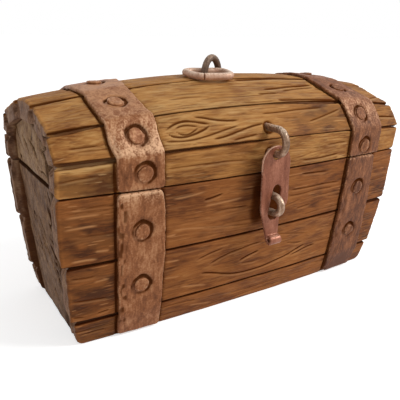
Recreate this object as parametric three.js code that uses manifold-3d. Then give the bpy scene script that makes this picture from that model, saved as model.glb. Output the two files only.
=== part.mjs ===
// Small wooden treasure chest with a barrel lid, copper straps, a hasp and a carrying ring.
// Millimetres, +Z up. The origin is the middle of the underside; -Y is the front.

import * as THREE from 'three';
import { mergeVertices } from 'three/addons/utils/BufferGeometryUtils.js';
import Module from 'manifold-3d';

const wasm = await Module();
wasm.setup();

// Wood: overall sizes, then heights of the boards, and the half depth at the rim.
// The other lines where two boards meet are set in or out from the rim's.
const chestLength = 200;
const woodThickness = 8.5;
const woodGap = 0.3;
const seamGap = 0.4;
const edgeChamfer = 1.3;

const lowPlankHeight = 13.5;
const middlePlankHeight = 28.5;
const topPlankHeight = 30.7;
const lowStaveRise = 13.3;
const middleStaveRise = 11.9;
const highStaveRise = 7.7;
const crownRise = 1.4;

const rimHalfDepth = 42.1;
const soleSetIn = 9.3;
const lowJointSetIn = 5.2;
const highJointSetIn = 1.8;
const shoulderSetOut = 1.8;
const haunchSetIn = 5.3;
const crownHalfDepth = 13;

// What the belly adds half way along the chest: outwards in depth, and upwards in height
const soleBelly = 3.2;
const lowJointBelly = 3.4;
const highJointBelly = 4.4;
const rimBelly = 5.7;
const shoulderBelly = 4.8;
const haunchBelly = 3.7;
const crownBelly = 1.6;
const shoulderLift = 2.6;
const haunchLift = 6.4;
const crownLift = 8.2;
const ridgeLift = 8;

// Board ends: each one stops short of the full length by a share of the setback.
// At the left the back boards overhang, less and less towards the underside.
const endSetback = 10;
const backOverhang = 2;
const topPlankShares = { left: [0.07, 0], right: [0.25, 0.1] };
const middlePlankShares = { left: [0.38, 0.25], right: [0.8, 0.45] };
const lowPlankShares = { left: [0.72, 0.52], right: [1.1, 1.0] };
const lowStaveShares = { left: [0.02, 0.04], right: [0.15, 0.2] };
const middleStaveShares = { left: [0.06, 0], right: [0.05, 0.25] };
const highStaveShares = { left: [0.04, 0.1], right: [0.45, 0.25] };
const crownStaveShares = { left: [0, 0], right: [0.05, 0.05] };

// End boards stand back inside the ends of the planks, lean in downwards and bulge a little
const endBoardThickness = 9;
const endRecess = 2.4;
const endLeanLeft = 5;
const endLeanRight = 9;
const endBulge = 1.3;
const endBulgeShare = 0.6;
const floorThickness = 8;

// Gouges: long V-shaped cuts with the grain of the end boards, side by side across each board.
// The grain leans back by an angle from upright.
const gougeCount = 4;
const gougeSpacing = 14;
const gougeWidth = 3.2;
const gougeDepth = 1.2;
const bodyGougeLength = 36;
const lidGougeLength = 24;
const bodyGrainDegrees = 45;
const lidGrainDegrees = 60;

// Copper straps
const strapThickness = 1.3;
const strapGap = 0.3;
const strapFromEnd = 33.8;
const strapWidthLeft = 21.5;
const strapWidthRight = 25;
const strapFootUp = 1.2;

// Rivets
const rivetHeadRadius = 4.3;
const rivetHeadRim = 0.4;
const rivetHeadDome = 0.5;
const rivetShankRadius = 1;
const rivetShankLength = 7;
const shankClearance = 0.3;
const upperRivetUp = 54.5;
const lowerRivetUp = 27.6;

// Hinges: knuckles rolled at the straps' back ends, round a pin
const hingePinRadius = 1.2;
const hingePinHeadRadius = 1.9;
const hingePinHeadLength = 0.8;
const hingePlay = 0.15;
const knuckleGap = 0.5;
const knuckleClearance = 0.6;
const middleKnuckleShare = 0.36;

// Wire of the staples and of the ring
const wireRadius = 1.8;
const wireHoleClearance = 0.3;
const stapleDepthInWood = 5.5;

// Hasp, measured down from the middle of its round top end
const haspWidth = 16.6;
const haspThickness = 1.4;
const haspHoleRadius = 2.5;
const haspHoleDrop = 4.2;
const haspShoulderDrop = 26;
const haspWaistDrop = 36.5;
const haspWaistRight = 3.2;
const haspTailDrop = 45;
const haspTailWidth = 7.8;
const haspTailLeft = 5;
const slotTopDrop = 21.3;
const slotBottomDrop = 33;
const slotTopRadius = 2.4;
const slotBottomRadius = 3.2;
const slotTopOffset = 1.1;
const slotBottomOffset = -1;
const curlRadius = 2.35;
const curlSweepShare = 0.86;

// Where the hasp hangs, and the two staples that hold it
const haspStandOff = 4.4;
const haspBowRadius = 5.8;
const haspHoleUp = 82.5;
const lockStapleLegGap = 8.5;
const lockStapleReach = 5.6;

// Carrying ring on the lid: a rounded rectangle of wire through an arched staple
const ringLength = 22;
const ringDepth = 15.5;
const ringCornerRadius = 5;
const ringCutGap = 0.7;
const ringTurnDegrees = -16;
const ringDrop = 1.5;
const ringShift = -4.4;
const archWidth = 13.1;
const archHeight = 8.9;
const archTurnDegrees = 22.6;
const archAcross = -5.5;
const archForward = 4.7;

// Fineness of the facets
const alongSteps = 8;
const wireSides = 8;
const roundSides = 16;
const shankSides = 10;
const bowSteps = 10;
const stapleSteps = 24;
const ringSteps = 44;
const cornerSteps = 4;

const halfLength = chestLength / 2;
const lowJointUp = lowPlankHeight;
const highJointUp = lowJointUp + middlePlankHeight;
const rimUp = highJointUp + topPlankHeight;
const lidRimUp = rimUp + seamGap;
const seamUp = (rimUp + lidRimUp) / 2;
const shoulderUp = lidRimUp + lowStaveRise;
const haunchUp = shoulderUp + middleStaveRise;
const crownUp = haunchUp + highStaveRise;
const ridgeUp = crownUp + crownRise;

// A line runs the length of the chest; belly and lift are what it gains half way
const soleLine = { out: rimHalfDepth - soleSetIn, belly: soleBelly, up: 0, lift: 0 };
const lowJointLine = {
  out: rimHalfDepth - lowJointSetIn, belly: lowJointBelly, up: lowJointUp, lift: 0,
};
const highJointLine = {
  out: rimHalfDepth - highJointSetIn, belly: highJointBelly, up: highJointUp, lift: 0,
};
const rimLine = { out: rimHalfDepth, belly: rimBelly, up: rimUp, lift: 0 };
const lidRimLine = { out: rimHalfDepth, belly: rimBelly, up: lidRimUp, lift: 0 };
const shoulderLine = {
  out: rimHalfDepth + shoulderSetOut, belly: shoulderBelly, up: shoulderUp, lift: shoulderLift,
};
const haunchLine = {
  out: rimHalfDepth - haunchSetIn, belly: haunchBelly, up: haunchUp, lift: haunchLift,
};
const crownLine = { out: crownHalfDepth, belly: crownBelly, up: crownUp, lift: crownLift };
const ridgeLine = { out: 0, belly: 0, up: ridgeUp, lift: ridgeLift };

const bellyShareAt = (x) => 1 - (x / halfLength) ** 2;

// A point of the front's section: y counts outwards from the middle plane
function pointOn(line, x) {
  const share = bellyShareAt(x);
  return new THREE.Vector2(line.out + line.belly * share, line.up + line.lift * share);
}

// Moves a chain of points sideways by a distance, keeping its bends sharp; left of its direction
function offsetChain(points, distance) {
  return points.map((point, i) => {
    const before = points[Math.max(i - 1, 0)];
    const after = points[Math.min(i + 1, points.length - 1)];
    const arriving = point.clone().sub(before);
    const leaving = after.clone().sub(point);
    if (arriving.lengthSq() === 0) arriving.copy(leaving);
    if (leaving.lengthSq() === 0) leaving.copy(arriving);
    arriving.normalize();
    leaving.normalize();
    const normal = new THREE.Vector2(-arriving.y - leaving.y, arriving.x + leaving.x).normalize();
    const stretch = normal.dot(new THREE.Vector2(-arriving.y, arriving.x));
    return point.clone().addScaledVector(normal, distance / stretch);
  });
}

const atEnds = (lines) => lines.map((line) => new THREE.Vector2(line.out, line.up));
const moved = (point, out, up) => new THREE.Vector2(point.x + out, point.y + up);

// Inner faces of the boards run straight from end to end
const wallLines = [soleLine, lowJointLine, highJointLine, rimLine];
const wallInner = atEnds(wallLines).map((point) => moved(point, -woodThickness, 0));
const lidLines = [lidRimLine, shoulderLine, haunchLine, crownLine, ridgeLine];
const lidInner = offsetChain(atEnds(lidLines), woodThickness);
lidInner[0].set(rimHalfDepth - woodThickness, lidRimUp);
lidInner[lidLines.length - 1].set(0, lidInner[lidLines.length - 2].y);

// Geometry helpers
function closed(positions, triangles) {
  const geometry = new THREE.BufferGeometry();
  geometry.setAttribute('position', new THREE.Float32BufferAttribute(positions, 3));
  geometry.setIndex(triangles);
  if (volumeOf(geometry) < 0) {
    for (let i = 0; i < triangles.length; i += 3) {
      [triangles[i], triangles[i + 1]] = [triangles[i + 1], triangles[i]];
    }
    geometry.setIndex(triangles);
  }
  return geometry;
}

function volumeOf(geometry) {
  const position = geometry.getAttribute('position');
  const index = geometry.getIndex().array;
  const [a, b, c] = [new THREE.Vector3(), new THREE.Vector3(), new THREE.Vector3()];
  let six = 0;
  for (let i = 0; i < index.length; i += 3) {
    a.fromBufferAttribute(position, index[i]);
    b.fromBufferAttribute(position, index[i + 1]);
    c.fromBufferAttribute(position, index[i + 2]);
    six += a.dot(b.cross(c));
  }
  return six / 6;
}

// Skins a row of rings of the same point count; the caps are fans, or strips across a thin shell
function loft(rings, shell = false) {
  const count = rings[0].length;
  const positions = rings.flat().flatMap((point) => [point.x, point.y, point.z]);
  const triangles = [];
  for (let r = 0; r < rings.length - 1; r += 1) {
    for (let i = 0; i < count; i += 1) {
      const [a, b] = [r * count + i, r * count + ((i + 1) % count)];
      triangles.push(a, b, b + count, a, b + count, a + count);
    }
  }
  const last = (rings.length - 1) * count;
  for (const [first, flip] of [[0, true], [last, false]]) {
    for (const [a, b, c] of shell ? stripCap(count) : fanCap(count)) {
      triangles.push(first + a, first + (flip ? c : b), first + (flip ? b : c));
    }
  }
  return closed(positions, triangles);
}

const fanCap = (count) => Array.from({ length: count - 2 }, (_, i) => [0, i + 1, i + 2]);

function stripCap(count) {
  const faces = [];
  for (let i = 0; i < count / 2 - 1; i += 1) {
    const j = count - 1 - i;
    faces.push([i, i + 1, j - 1], [i, j - 1, j]);
  }
  return faces;
}

function toSolid(geometry) {
  const bare = geometry.clone();
  bare.deleteAttribute('normal');
  bare.deleteAttribute('uv');
  const merged = mergeVertices(bare);
  return new wasm.Manifold(new wasm.Mesh({
    numProp: 3,
    vertProperties: new Float32Array(merged.getAttribute('position').array),
    triVerts: new Uint32Array(merged.getIndex().array),
  }));
}

function toGeometry(solid) {
  const mesh = solid.getMesh();
  const geometry = new THREE.BufferGeometry();
  geometry.setAttribute('position', new THREE.Float32BufferAttribute(mesh.vertProperties, 3));
  geometry.setIndex(Array.from(mesh.triVerts));
  return geometry;
}

function cut(geometry, tools) {
  return toGeometry(tools.reduce((solid, tool) => solid.subtract(toSolid(tool)), toSolid(geometry)));
}

function join([first, ...others]) {
  return toGeometry(others.reduce((solid, piece) => solid.add(toSolid(piece)), toSolid(first)));
}

// A plain rod from one point to another
function rod(from, to, radius, sides = roundSides) {
  const along = to.clone().sub(from);
  const geometry = new THREE.CylinderGeometry(radius, radius, along.length(), sides);
  geometry.applyQuaternion(new THREE.Quaternion().setFromUnitVectors(
    new THREE.Vector3(0, 1, 0), along.clone().normalize()));
  const middle = from.clone().add(to).divideScalar(2);
  return geometry.translate(middle.x, middle.y, middle.z);
}

function boxBetween(low, high) {
  const size = high.clone().sub(low);
  const middle = low.clone().add(high).divideScalar(2);
  return new THREE.BoxGeometry(size.x, size.y, size.z).translate(middle.x, middle.y, middle.z);
}

function wire(points, steps) {
  const section = new THREE.Shape().absarc(0, 0, wireRadius, 0, 2 * Math.PI);
  const path = new THREE.CatmullRomCurve3(points, false, 'centripetal');
  return new THREE.ExtrudeGeometry(section, { steps, curveSegments: wireSides / 2, extrudePath: path });
}

// Scene graph
const chest = new THREE.Group();
const copper = new THREE.MeshStandardMaterial({ color: 0x9a5f45, roughness: 0.45, metalness: 0.9 });
const bronze = new THREE.MeshStandardMaterial({ color: 0x6f5347, roughness: 0.4, metalness: 0.95 });
const bodyWood = new THREE.MeshStandardMaterial({ color: 0x8a4f26, roughness: 0.7, metalness: 0 });
const lidWood = new THREE.MeshStandardMaterial({ color: 0xa8713a, roughness: 0.7, metalness: 0 });
const endWood = new THREE.MeshStandardMaterial({ color: 0x6b5442, roughness: 0.8, metalness: 0 });

function add(name, geometry, material) {
  const mesh = new THREE.Mesh(geometry, material);
  mesh.name = name;
  chest.add(mesh);
  return mesh;
}

// Straps: the chain of wood lines that each one lies on, seen in section
const straps = [
  { side: 'left', x: strapFromEnd - halfLength, width: strapWidthLeft },
  { side: 'right', x: halfLength - strapFromEnd, width: strapWidthRight },
];
const strapStationShares = [-1, -0.5, 0, 0.5, 1];
const strapStations = (strap) => strapStationShares.map((share) => strap.x + share * strap.width / 2);

// The lid's outside from the front rim over the ridge to the back rim; y is minus in front
function lidChain(x) {
  const half = lidLines.map((line) => pointOn(line, x));
  const front = half.map((point) => new THREE.Vector2(-point.x, point.y));
  return front.concat(half.slice(0, -1).reverse());
}

const wallChain = (x, side) => wallLines.map((line) => pointOn(line, x)).map(
  (point) => new THREE.Vector2(side * point.x, point.y));

// Where a rivet sits: a share of the way along one stretch of a chain, on the wood
function seatOn(chainAt, stretch, share, x) {
  const at = (station) => {
    const chain = chainAt(station);
    const point = chain[stretch].clone().lerp(chain[stretch + 1], share);
    return new THREE.Vector3(station, point.x, point.y);
  };
  const chain = chainAt(x);
  const rise = chain[stretch + 1].clone().sub(chain[stretch]);
  const up = new THREE.Vector3(0, rise.x, rise.y);
  const along = at(x + strapThickness).sub(at(x - strapThickness));
  const middle = new THREE.Vector3(x, 0, seamUp);
  const point = at(x);
  const normal = along.cross(up).normalize();
  if (normal.dot(point.clone().sub(middle)) < 0) normal.negate();
  return { point, normal };
}

// How far out the wood reaches at a height near the seam
function woodOutAt(x, up) {
  const lines = up < lidRimUp ? [highJointLine, rimLine] : [lidRimLine, shoulderLine];
  const [low, high] = lines.map((line) => pointOn(line, x));
  return THREE.MathUtils.mapLinear(up, low.y, high.y, low.x, high.x);
}

// Hinge line: outside the fullest part of the back wall under either strap
const knuckleRadius = hingePinRadius + hingePlay + strapThickness;
const innerEdge = (strap) => Math.abs(strap.x) - strap.width / 2;
const hingeOut = Math.max(...straps.map((strap) => pointOn(rimLine, innerEdge(strap)).x))
  + strapGap + knuckleRadius;
const backPlateFoot = seamUp + knuckleRadius + knuckleClearance;
const backPlateHead = seamUp - knuckleRadius - knuckleClearance;

// Rivet seats of each strap
function lidRivetSeats(strap) {
  const last = 2 * lidLines.length - 3;
  const lowFace = pointOn(shoulderLine, strap.x).y - lidRimUp;
  const backShare = 1 - (backPlateFoot + pointOn(shoulderLine, strap.x).y - 2 * lidRimUp) / 2 / lowFace;
  const seats = [];
  for (let stretch = 0; stretch < last; stretch += 1) {
    const overRidge = stretch === lidLines.length - 2;
    if (stretch === lidLines.length - 1) continue;
    seats.push(seatOn(lidChain, stretch, overRidge ? 1 : 0.5, strap.x));
  }
  seats.push(seatOn(lidChain, last, backShare, strap.x));
  seats[lidLines.length - 2].normal.y = 0;
  seats[lidLines.length - 2].normal.normalize();
  return seats;
}

function wallRivetSeats(strap, side) {
  const chainAt = (x) => wallChain(x, side);
  return [
    seatOn(chainAt, 2, (upperRivetUp - highJointUp) / topPlankHeight, strap.x),
    seatOn(chainAt, 1, (lowerRivetUp - lowJointUp) / middlePlankHeight, strap.x),
  ];
}

const rivetHole = (seat) => rod(
  seat.point.clone().addScaledVector(seat.normal, rivetShankLength),
  seat.point.clone().addScaledVector(seat.normal, -rivetShankLength),
  rivetShankRadius + shankClearance, shankSides);

const wallSeats = (side) => straps.flatMap((strap) => wallRivetSeats(strap, side));
const lidSeats = straps.flatMap(lidRivetSeats);

// Hasp staple: two legs in the lid's front, and a half circle that the hasp slides round
const haspPlaneOut = pointOn(shoulderLine, 0).x + haspStandOff;
const haspTopUp = haspHoleUp + haspHoleDrop;

function levelStaple(legUp, legGap, outFrom, bowReach) {
  const points = [];
  const wood = -pointOn(rimLine, 0).x + stapleDepthInWood;
  points.push(new THREE.Vector3(0, wood, legUp));
  for (let i = 0; i <= bowSteps; i += 1) {
    const angle = Math.PI * i / bowSteps;
    points.push(new THREE.Vector3(
      0, -outFrom - bowReach * Math.sin(angle), legUp + legGap / 2 * (1 - Math.cos(angle))));
  }
  points.push(new THREE.Vector3(0, wood, legUp + legGap));
  return wire(points, stapleSteps);
}

// Lock staple: its legs stand in the slot of the hanging hasp
const slotBottomUp = haspTopUp - slotBottomDrop;
const lockLegUp = slotBottomUp;

// Ring staple: an arch standing on the crown, turned so that the ring's far bar passes under it
const archGround = pointOn(ridgeLine, archAcross).y
  - archForward / crownHalfDepth * crownRise;
const archTurn = THREE.MathUtils.degToRad(archTurnDegrees);
const archFoot = (side) => new THREE.Vector3(
  archAcross + side * archWidth / 2 * Math.cos(archTurn),
  -archForward + side * archWidth / 2 * Math.sin(archTurn), archGround);

function archStaple() {
  const points = [];
  for (let i = 0; i <= bowSteps; i += 1) {
    const angle = Math.PI * i / bowSteps;
    const point = archFoot(-Math.cos(angle));
    point.z += archHeight * Math.sin(angle);
    points.push(point);
  }
  points.unshift(archFoot(-1).setZ(archGround - stapleDepthInWood));
  points.push(archFoot(1).setZ(archGround - stapleDepthInWood));
  return wire(points, stapleSteps);
}

// Boards: outer edge points from chamfered corners, inner edge straight
function boardRing(lines, inner, shares, side, step) {
  const way = 2 * step / alongSteps - 1;
  const place = (height) => {
    const overhang = side > 0 ? backOverhang * Math.min(lines[height].up / rimUp, 1) : 0;
    const left = endSetback * shares.left[height] - halfLength - overhang;
    const right = halfLength - endSetback * shares.right[height];
    return (left + right) / 2 + way * (right - left) / 2;
  };
  const xLow = place(0);
  const xHigh = place(1);
  const outerLow = pointOn(lines[0], xLow);
  const outerHigh = pointOn(lines[1], xHigh);
  const along = outerHigh.clone().sub(outerLow).normalize();
  const low = lines[0].seam ?? woodGap / 2;
  const high = lines[1].seam ?? woodGap / 2;
  const corner = (outer, innerPoint, inset, turn, x) => {
    const across = innerPoint.clone().sub(outer).normalize();
    const start = outer.clone().addScaledVector(along, turn * inset);
    return [
      [x, start.clone().addScaledVector(along, turn * edgeChamfer)],
      [x, start.clone().addScaledVector(across, edgeChamfer)],
      [x, innerPoint.clone().addScaledVector(along, turn * inset)],
    ];
  };
  const lowCorner = corner(outerLow, inner[0], low, 1, xLow);
  const highCorner = corner(outerHigh, inner[1], high, -1, xHigh);
  return lowCorner.reverse().concat(highCorner).map(
    ([x, point]) => new THREE.Vector3(x, side * point.x, point.y));
}

const openEdge = (line) => ({ ...line, seam: 0 });

function board(lines, inner, shares, side) {
  const rings = [];
  for (let step = 0; step <= alongSteps; step += 1) {
    rings.push(boardRing(lines, inner, shares, side, step));
  }
  return loft(rings);
}

// The crown stave spans the ridge, so its two halves are one ring
function crownStave() {
  const pair = [crownLine, openEdge(ridgeLine)];
  const inner = lidInner.slice(-2);
  const rings = [];
  for (let step = 0; step <= alongSteps; step += 1) {
    const front = boardRing(pair, inner, crownStaveShares, -1, step).slice(0, 3);
    const back = front.map((point) => new THREE.Vector3(point.x, -point.y, point.z)).reverse();
    const top = pointOn(ridgeLine, front[2].x);
    rings.push([...front, new THREE.Vector3(front[2].x, 0, top.y), ...back]);
  }
  return loft(rings);
}

function buildWalls() {
  const planks = [
    ['bottom', [openEdge(soleLine), lowJointLine], 0, lowPlankShares],
    ['middle', [lowJointLine, highJointLine], 1, middlePlankShares],
    ['top', [highJointLine, openEdge(rimLine)], 2, topPlankShares],
  ];
  for (const [wall, side] of [['front', -1], ['back', 1]]) {
    const holes = wallSeats(side).map(rivetHole);
    if (side < 0) holes.push(...lockStapleHoles());
    for (const [level, lines, i, shares] of planks) {
      const plank = board(lines, wallInner.slice(i, i + 2), shares, side);
      add(`${wall}_plank_${level}`, cut(plank, holes), bodyWood);
    }
  }
}

const staplePath = (up, outFrom) => rod(
  new THREE.Vector3(0, -outFrom, up),
  new THREE.Vector3(0, -pointOn(rimLine, 0).x + stapleDepthInWood + wireHoleClearance, up),
  wireRadius + wireHoleClearance);

const lockStapleHoles = () => [0, lockStapleLegGap].map(
  (rise) => staplePath(lockLegUp + rise, haspPlaneOut));

function buildLid() {
  const haspHoles = [0, 2 * haspBowRadius].map((rise) => staplePath(haspHoleUp + rise, haspPlaneOut));
  const archHoles = [-1, 1].map((side) => rod(
    archFoot(side).setZ(archGround + archHeight),
    archFoot(side).setZ(archGround - stapleDepthInWood - wireHoleClearance),
    wireRadius + wireHoleClearance));
  const holes = lidSeats.map(rivetHole);
  const frontHoles = [...holes, ...haspHoles];
  const staves = [
    ['low', [openEdge(lidRimLine), shoulderLine], 0, lowStaveShares],
    ['middle', [shoulderLine, haunchLine], 1, middleStaveShares],
    ['high', [haunchLine, crownLine], 2, highStaveShares],
  ];
  for (const [wall, side] of [['front', -1], ['back', 1]]) {
    for (const [level, lines, i, shares] of staves) {
      const stave = board(lines, lidInner.slice(i, i + 2), shares, side);
      add(`lid_stave_${wall}_${level}`, cut(stave, side < 0 ? frontHoles : holes), lidWood);
    }
  }
  add('lid_stave_crown', cut(crownStave(), [...holes, ...archHoles]), lidWood);
}

// End boards fill the section inside the walls, or inside the staves
function endBoard(section, turn, faceAt, gougeReach) {
  const total = section.reduce((sum, point) => sum.add(point), new THREE.Vector2());
  const middle = total.divideScalar(section.length);
  const pointAt = (place, out) => new THREE.Vector3(turn * (faceAt(place.y) + out), place.x, place.y);
  const ring = (share, out) => section.map((point) => pointAt(middle.clone().lerp(point, share), out));
  const blank = loft([ring(1, -endBoardThickness), ring(1, 0), ring(endBulgeShare, endBulge)]);
  const halfWay = new THREE.Box2().setFromPoints(section).getCenter(new THREE.Vector2());
  const gouges = Array.from({ length: gougeCount }, (_, i) => gouge(
    moved(halfWay, (i - (gougeCount - 1) / 2) * gougeSpacing, 0), gougeReach, pointAt));
  return cut(blank, gouges);
}

// The tool for one gouge is a pyramid on its point, twice as tall, long and wide as the cut it leaves.
// Its reach runs from the middle of the gouge to the upper end.
function gouge(middle, reach, pointAt) {
  const across = new THREE.Vector2(reach.y, -reach.x).setLength(gougeWidth / 2);
  const corners = [reach, across, reach.clone().negate(), across.clone().negate()].map(
    (offset) => pointAt(middle.clone().addScaledVector(offset, 2), endBulge + gougeDepth));
  const tip = pointAt(middle, endBulge - gougeDepth);
  const positions = [...corners, tip].flatMap((point) => point.toArray());
  return closed(positions, [0, 1, 4, 1, 2, 4, 2, 3, 4, 3, 0, 4, 0, 2, 1, 0, 3, 2]);
}

function grainReach(degrees, length) {
  const lean = THREE.MathUtils.degToRad(degrees);
  return new THREE.Vector2(Math.sin(lean), Math.cos(lean)).multiplyScalar(length / 2);
}

function mirrored(half) {
  return half.concat(half.map((point) => new THREE.Vector2(-point.x, point.y)).reverse());
}

function buildEnds() {
  const wall = offsetChain(wallInner, woodGap);
  wall[0].y = 0;
  wall[wall.length - 1].y = rimUp;
  const roof = offsetChain(lidInner, woodGap);
  roof[0].y = lidRimUp;
  roof[roof.length - 1].x = 0;
  const roofSection = roof.concat(mirrored(roof.slice(0, -1)).slice(roof.length - 1));
  const face = halfLength - endRecess;
  const bodyReach = grainReach(bodyGrainDegrees, bodyGougeLength);
  const lidReach = grainReach(lidGrainDegrees, lidGougeLength);
  for (const [side, turn, lean] of [['left', -1, endLeanLeft], ['right', 1, endLeanRight]]) {
    const faceAt = (up) => face - lean * (1 - up / rimUp);
    add(`end_board_${side}`, endBoard(mirrored(wall), turn, faceAt, bodyReach), endWood);
    add(`lid_end_${side}`, endBoard(roofSection, turn, () => face, lidReach), endWood);
  }
}

function buildFloor() {
  const wall = offsetChain(wallInner, woodGap);
  const topOut = wall[0].x + (wall[1].x - wall[0].x) * floorThickness / lowPlankHeight;
  const inside = (lean, up) => halfLength - endRecess - endBoardThickness - woodGap
    - lean * (1 - up / rimUp);
  const level = (out, up) => [
    new THREE.Vector3(-inside(endLeanLeft, up), -out, up),
    new THREE.Vector3(inside(endLeanRight, up), -out, up),
    new THREE.Vector3(inside(endLeanRight, up), out, up),
    new THREE.Vector3(-inside(endLeanLeft, up), out, up),
  ];
  add('floor_board', loft([level(wall[0].x, 0), level(topOut, floorThickness)]), bodyWood);
}

// A strap is a shell over a chain of lines, trimmed to where the strap starts and stops
function strapShell(strap, chainAt, outward) {
  const rings = strapStations(strap).map((x) => {
    const chain = chainAt(x);
    const under = offsetChain(chain, outward * strapGap);
    const over = offsetChain(chain, outward * (strapGap + strapThickness));
    return under.concat(over.reverse()).map((point) => new THREE.Vector3(x, point.x, point.y));
  });
  return loft(rings, true);
}

// Shortens a chain so that its ends stand at the given heights
function trimmed(chain, firstUp, lastUp) {
  const trim = (end, next, up) => end.clone().lerp(next, (up - end.y) / (next.y - end.y));
  const result = chain.map((point) => point.clone());
  const n = chain.length - 1;
  result[0] = trim(chain[0], chain[1], firstUp);
  result[n] = trim(chain[n], chain[n - 1], lastUp);
  return result;
}

// One knuckle: a barrel round the hinge line, and the tongue that joins it to its strap
function knuckle(from, to, tongueUp) {
  const axle = [from, to].map((x) => new THREE.Vector3(x, hingeOut, seamUp));
  const barrel = rod(...axle, knuckleRadius);
  const fullestX = Math.min(Math.abs(from), Math.abs(to));
  const fullest = Math.max(woodOutAt(fullestX, seamUp), woodOutAt(fullestX, tongueUp));
  const low = new THREE.Vector3(from, fullest + strapGap, Math.min(seamUp, tongueUp));
  const high = new THREE.Vector3(to, hingeOut - knuckleRadius + strapThickness, Math.max(seamUp, tongueUp));
  return [barrel, boxBetween(low, high)];
}

const hingeBore = (strap) => rod(
  new THREE.Vector3(strap.x - strap.width, hingeOut, seamUp),
  new THREE.Vector3(strap.x + strap.width, hingeOut, seamUp), hingePinRadius + hingePlay);

function buildStraps() {
  for (const strap of straps) {
    const left = strap.x - strap.width / 2;
    const right = strap.x + strap.width / 2;
    const middleHalf = strap.width * middleKnuckleShare / 2;
    const lid = strapShell(strap, (x) => trimmed(lidChain(x), lidRimUp, backPlateFoot), 1);
    const lidKnuckle = knuckle(strap.x - middleHalf, strap.x + middleHalf, backPlateFoot + strapThickness);
    const lidCuts = [hingeBore(strap), ...lidRivetSeats(strap).map(rivetHole)];
    add(`lid_strap_${strap.side}`, cut(join([lid, ...lidKnuckle]), lidCuts), copper);

    const front = strapShell(strap, (x) => trimmed(wallChain(x, -1), strapFootUp, rimUp), 1);
    add(`front_strap_${strap.side}`, cut(front, wallRivetSeats(strap, -1).map(rivetHole)), copper);

    const back = strapShell(strap, (x) => trimmed(wallChain(x, 1), strapFootUp, backPlateHead), -1);
    const gapHalf = middleHalf + knuckleGap;
    const knuckles = [
      ...knuckle(left, strap.x - gapHalf, backPlateHead - strapThickness),
      ...knuckle(strap.x + gapHalf, right, backPlateHead - strapThickness),
    ];
    const backCuts = [hingeBore(strap), ...wallRivetSeats(strap, 1).map(rivetHole)];
    add(`back_strap_${strap.side}`, cut(join([back, ...knuckles]), backCuts), copper);
    add(`hinge_pin_${strap.side}`, hingePin(strap), bronze);
  }
}

function hingePin(strap) {
  const half = strap.width / 2 + hingePlay;
  const end = half + hingePinHeadLength;
  const profile = [
    [0, -end], [hingePinHeadRadius, -end], [hingePinHeadRadius, -half], [hingePinRadius, -half],
    [hingePinRadius, half], [hingePinHeadRadius, half], [hingePinHeadRadius, end], [0, end],
  ].map(([radius, along]) => new THREE.Vector2(radius, along));
  const pin = new THREE.LatheGeometry(profile, roundSides).rotateZ(-Math.PI / 2);
  return pin.translate(strap.x, hingeOut, seamUp);
}

// Rivets: a flat rim and a low dome on a plain shank
function rivetGeometry() {
  const top = rivetHeadRim + rivetHeadDome;
  const profile = [
    [0, -rivetShankLength], [rivetShankRadius, -rivetShankLength], [rivetShankRadius, 0],
    [rivetHeadRadius, 0], [rivetHeadRadius, rivetHeadRim], [rivetHeadRadius / 2, top], [0, top],
  ].map(([radius, up]) => new THREE.Vector2(radius, up));
  return new THREE.LatheGeometry(profile, shankSides).rotateX(Math.PI / 2);
}

function addRivet(name, seat) {
  const rivet = add(name, rivetGeometry(), copper);
  rivet.position.copy(seat.point).addScaledVector(seat.normal, 2 * strapGap + strapThickness);
  rivet.quaternion.setFromUnitVectors(new THREE.Vector3(0, 0, 1), seat.normal);
}

function buildRivets() {
  for (const strap of straps) {
    for (const [wall, side] of [['front', -1], ['back', 1]]) {
      const [upper, lower] = wallRivetSeats(strap, side);
      addRivet(`${wall}_rivet_${strap.side}_upper`, upper);
      addRivet(`${wall}_rivet_${strap.side}_lower`, lower);
    }
    lidRivetSeats(strap).forEach((seat, i) => addRivet(`lid_rivet_${strap.side}_${i + 1}`, seat));
  }
}

// Hasp: a round-topped plate with a hole, a leaning slot and a waist, and a rolled tail
const haspBendDrop = (haspShoulderDrop + haspWaistDrop) / 2;

function haspOutline() {
  const half = haspWidth / 2;
  const shape = new THREE.Shape();
  shape.moveTo(-half, -half);
  shape.absarc(0, -half, half, Math.PI, 0, true);
  shape.lineTo(half, -haspShoulderDrop);
  shape.bezierCurveTo(
    half, -haspBendDrop, haspWaistRight, -haspBendDrop, haspWaistRight, -haspWaistDrop);
  shape.lineTo(haspTailWidth - haspTailLeft, -haspTailDrop);
  shape.lineTo(-haspTailLeft, -haspTailDrop);
  shape.quadraticCurveTo(-half, -haspWaistDrop, -half, -haspShoulderDrop);
  shape.closePath();
  return shape;
}

function slotOutline() {
  const slot = new THREE.Path();
  slot.absarc(slotTopOffset, -slotTopDrop, slotTopRadius, 0, Math.PI, false);
  slot.absarc(slotBottomOffset, -slotBottomDrop, slotBottomRadius, Math.PI, 2 * Math.PI, false);
  slot.closePath();
  return slot;
}

function roundHole(radius, up) {
  const points = Array.from({ length: roundSides }, (_, i) => {
    const angle = 2 * Math.PI * i / roundSides;
    return new THREE.Vector2(radius * Math.cos(angle), up + radius * Math.sin(angle));
  });
  return new THREE.Path(points);
}

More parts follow.
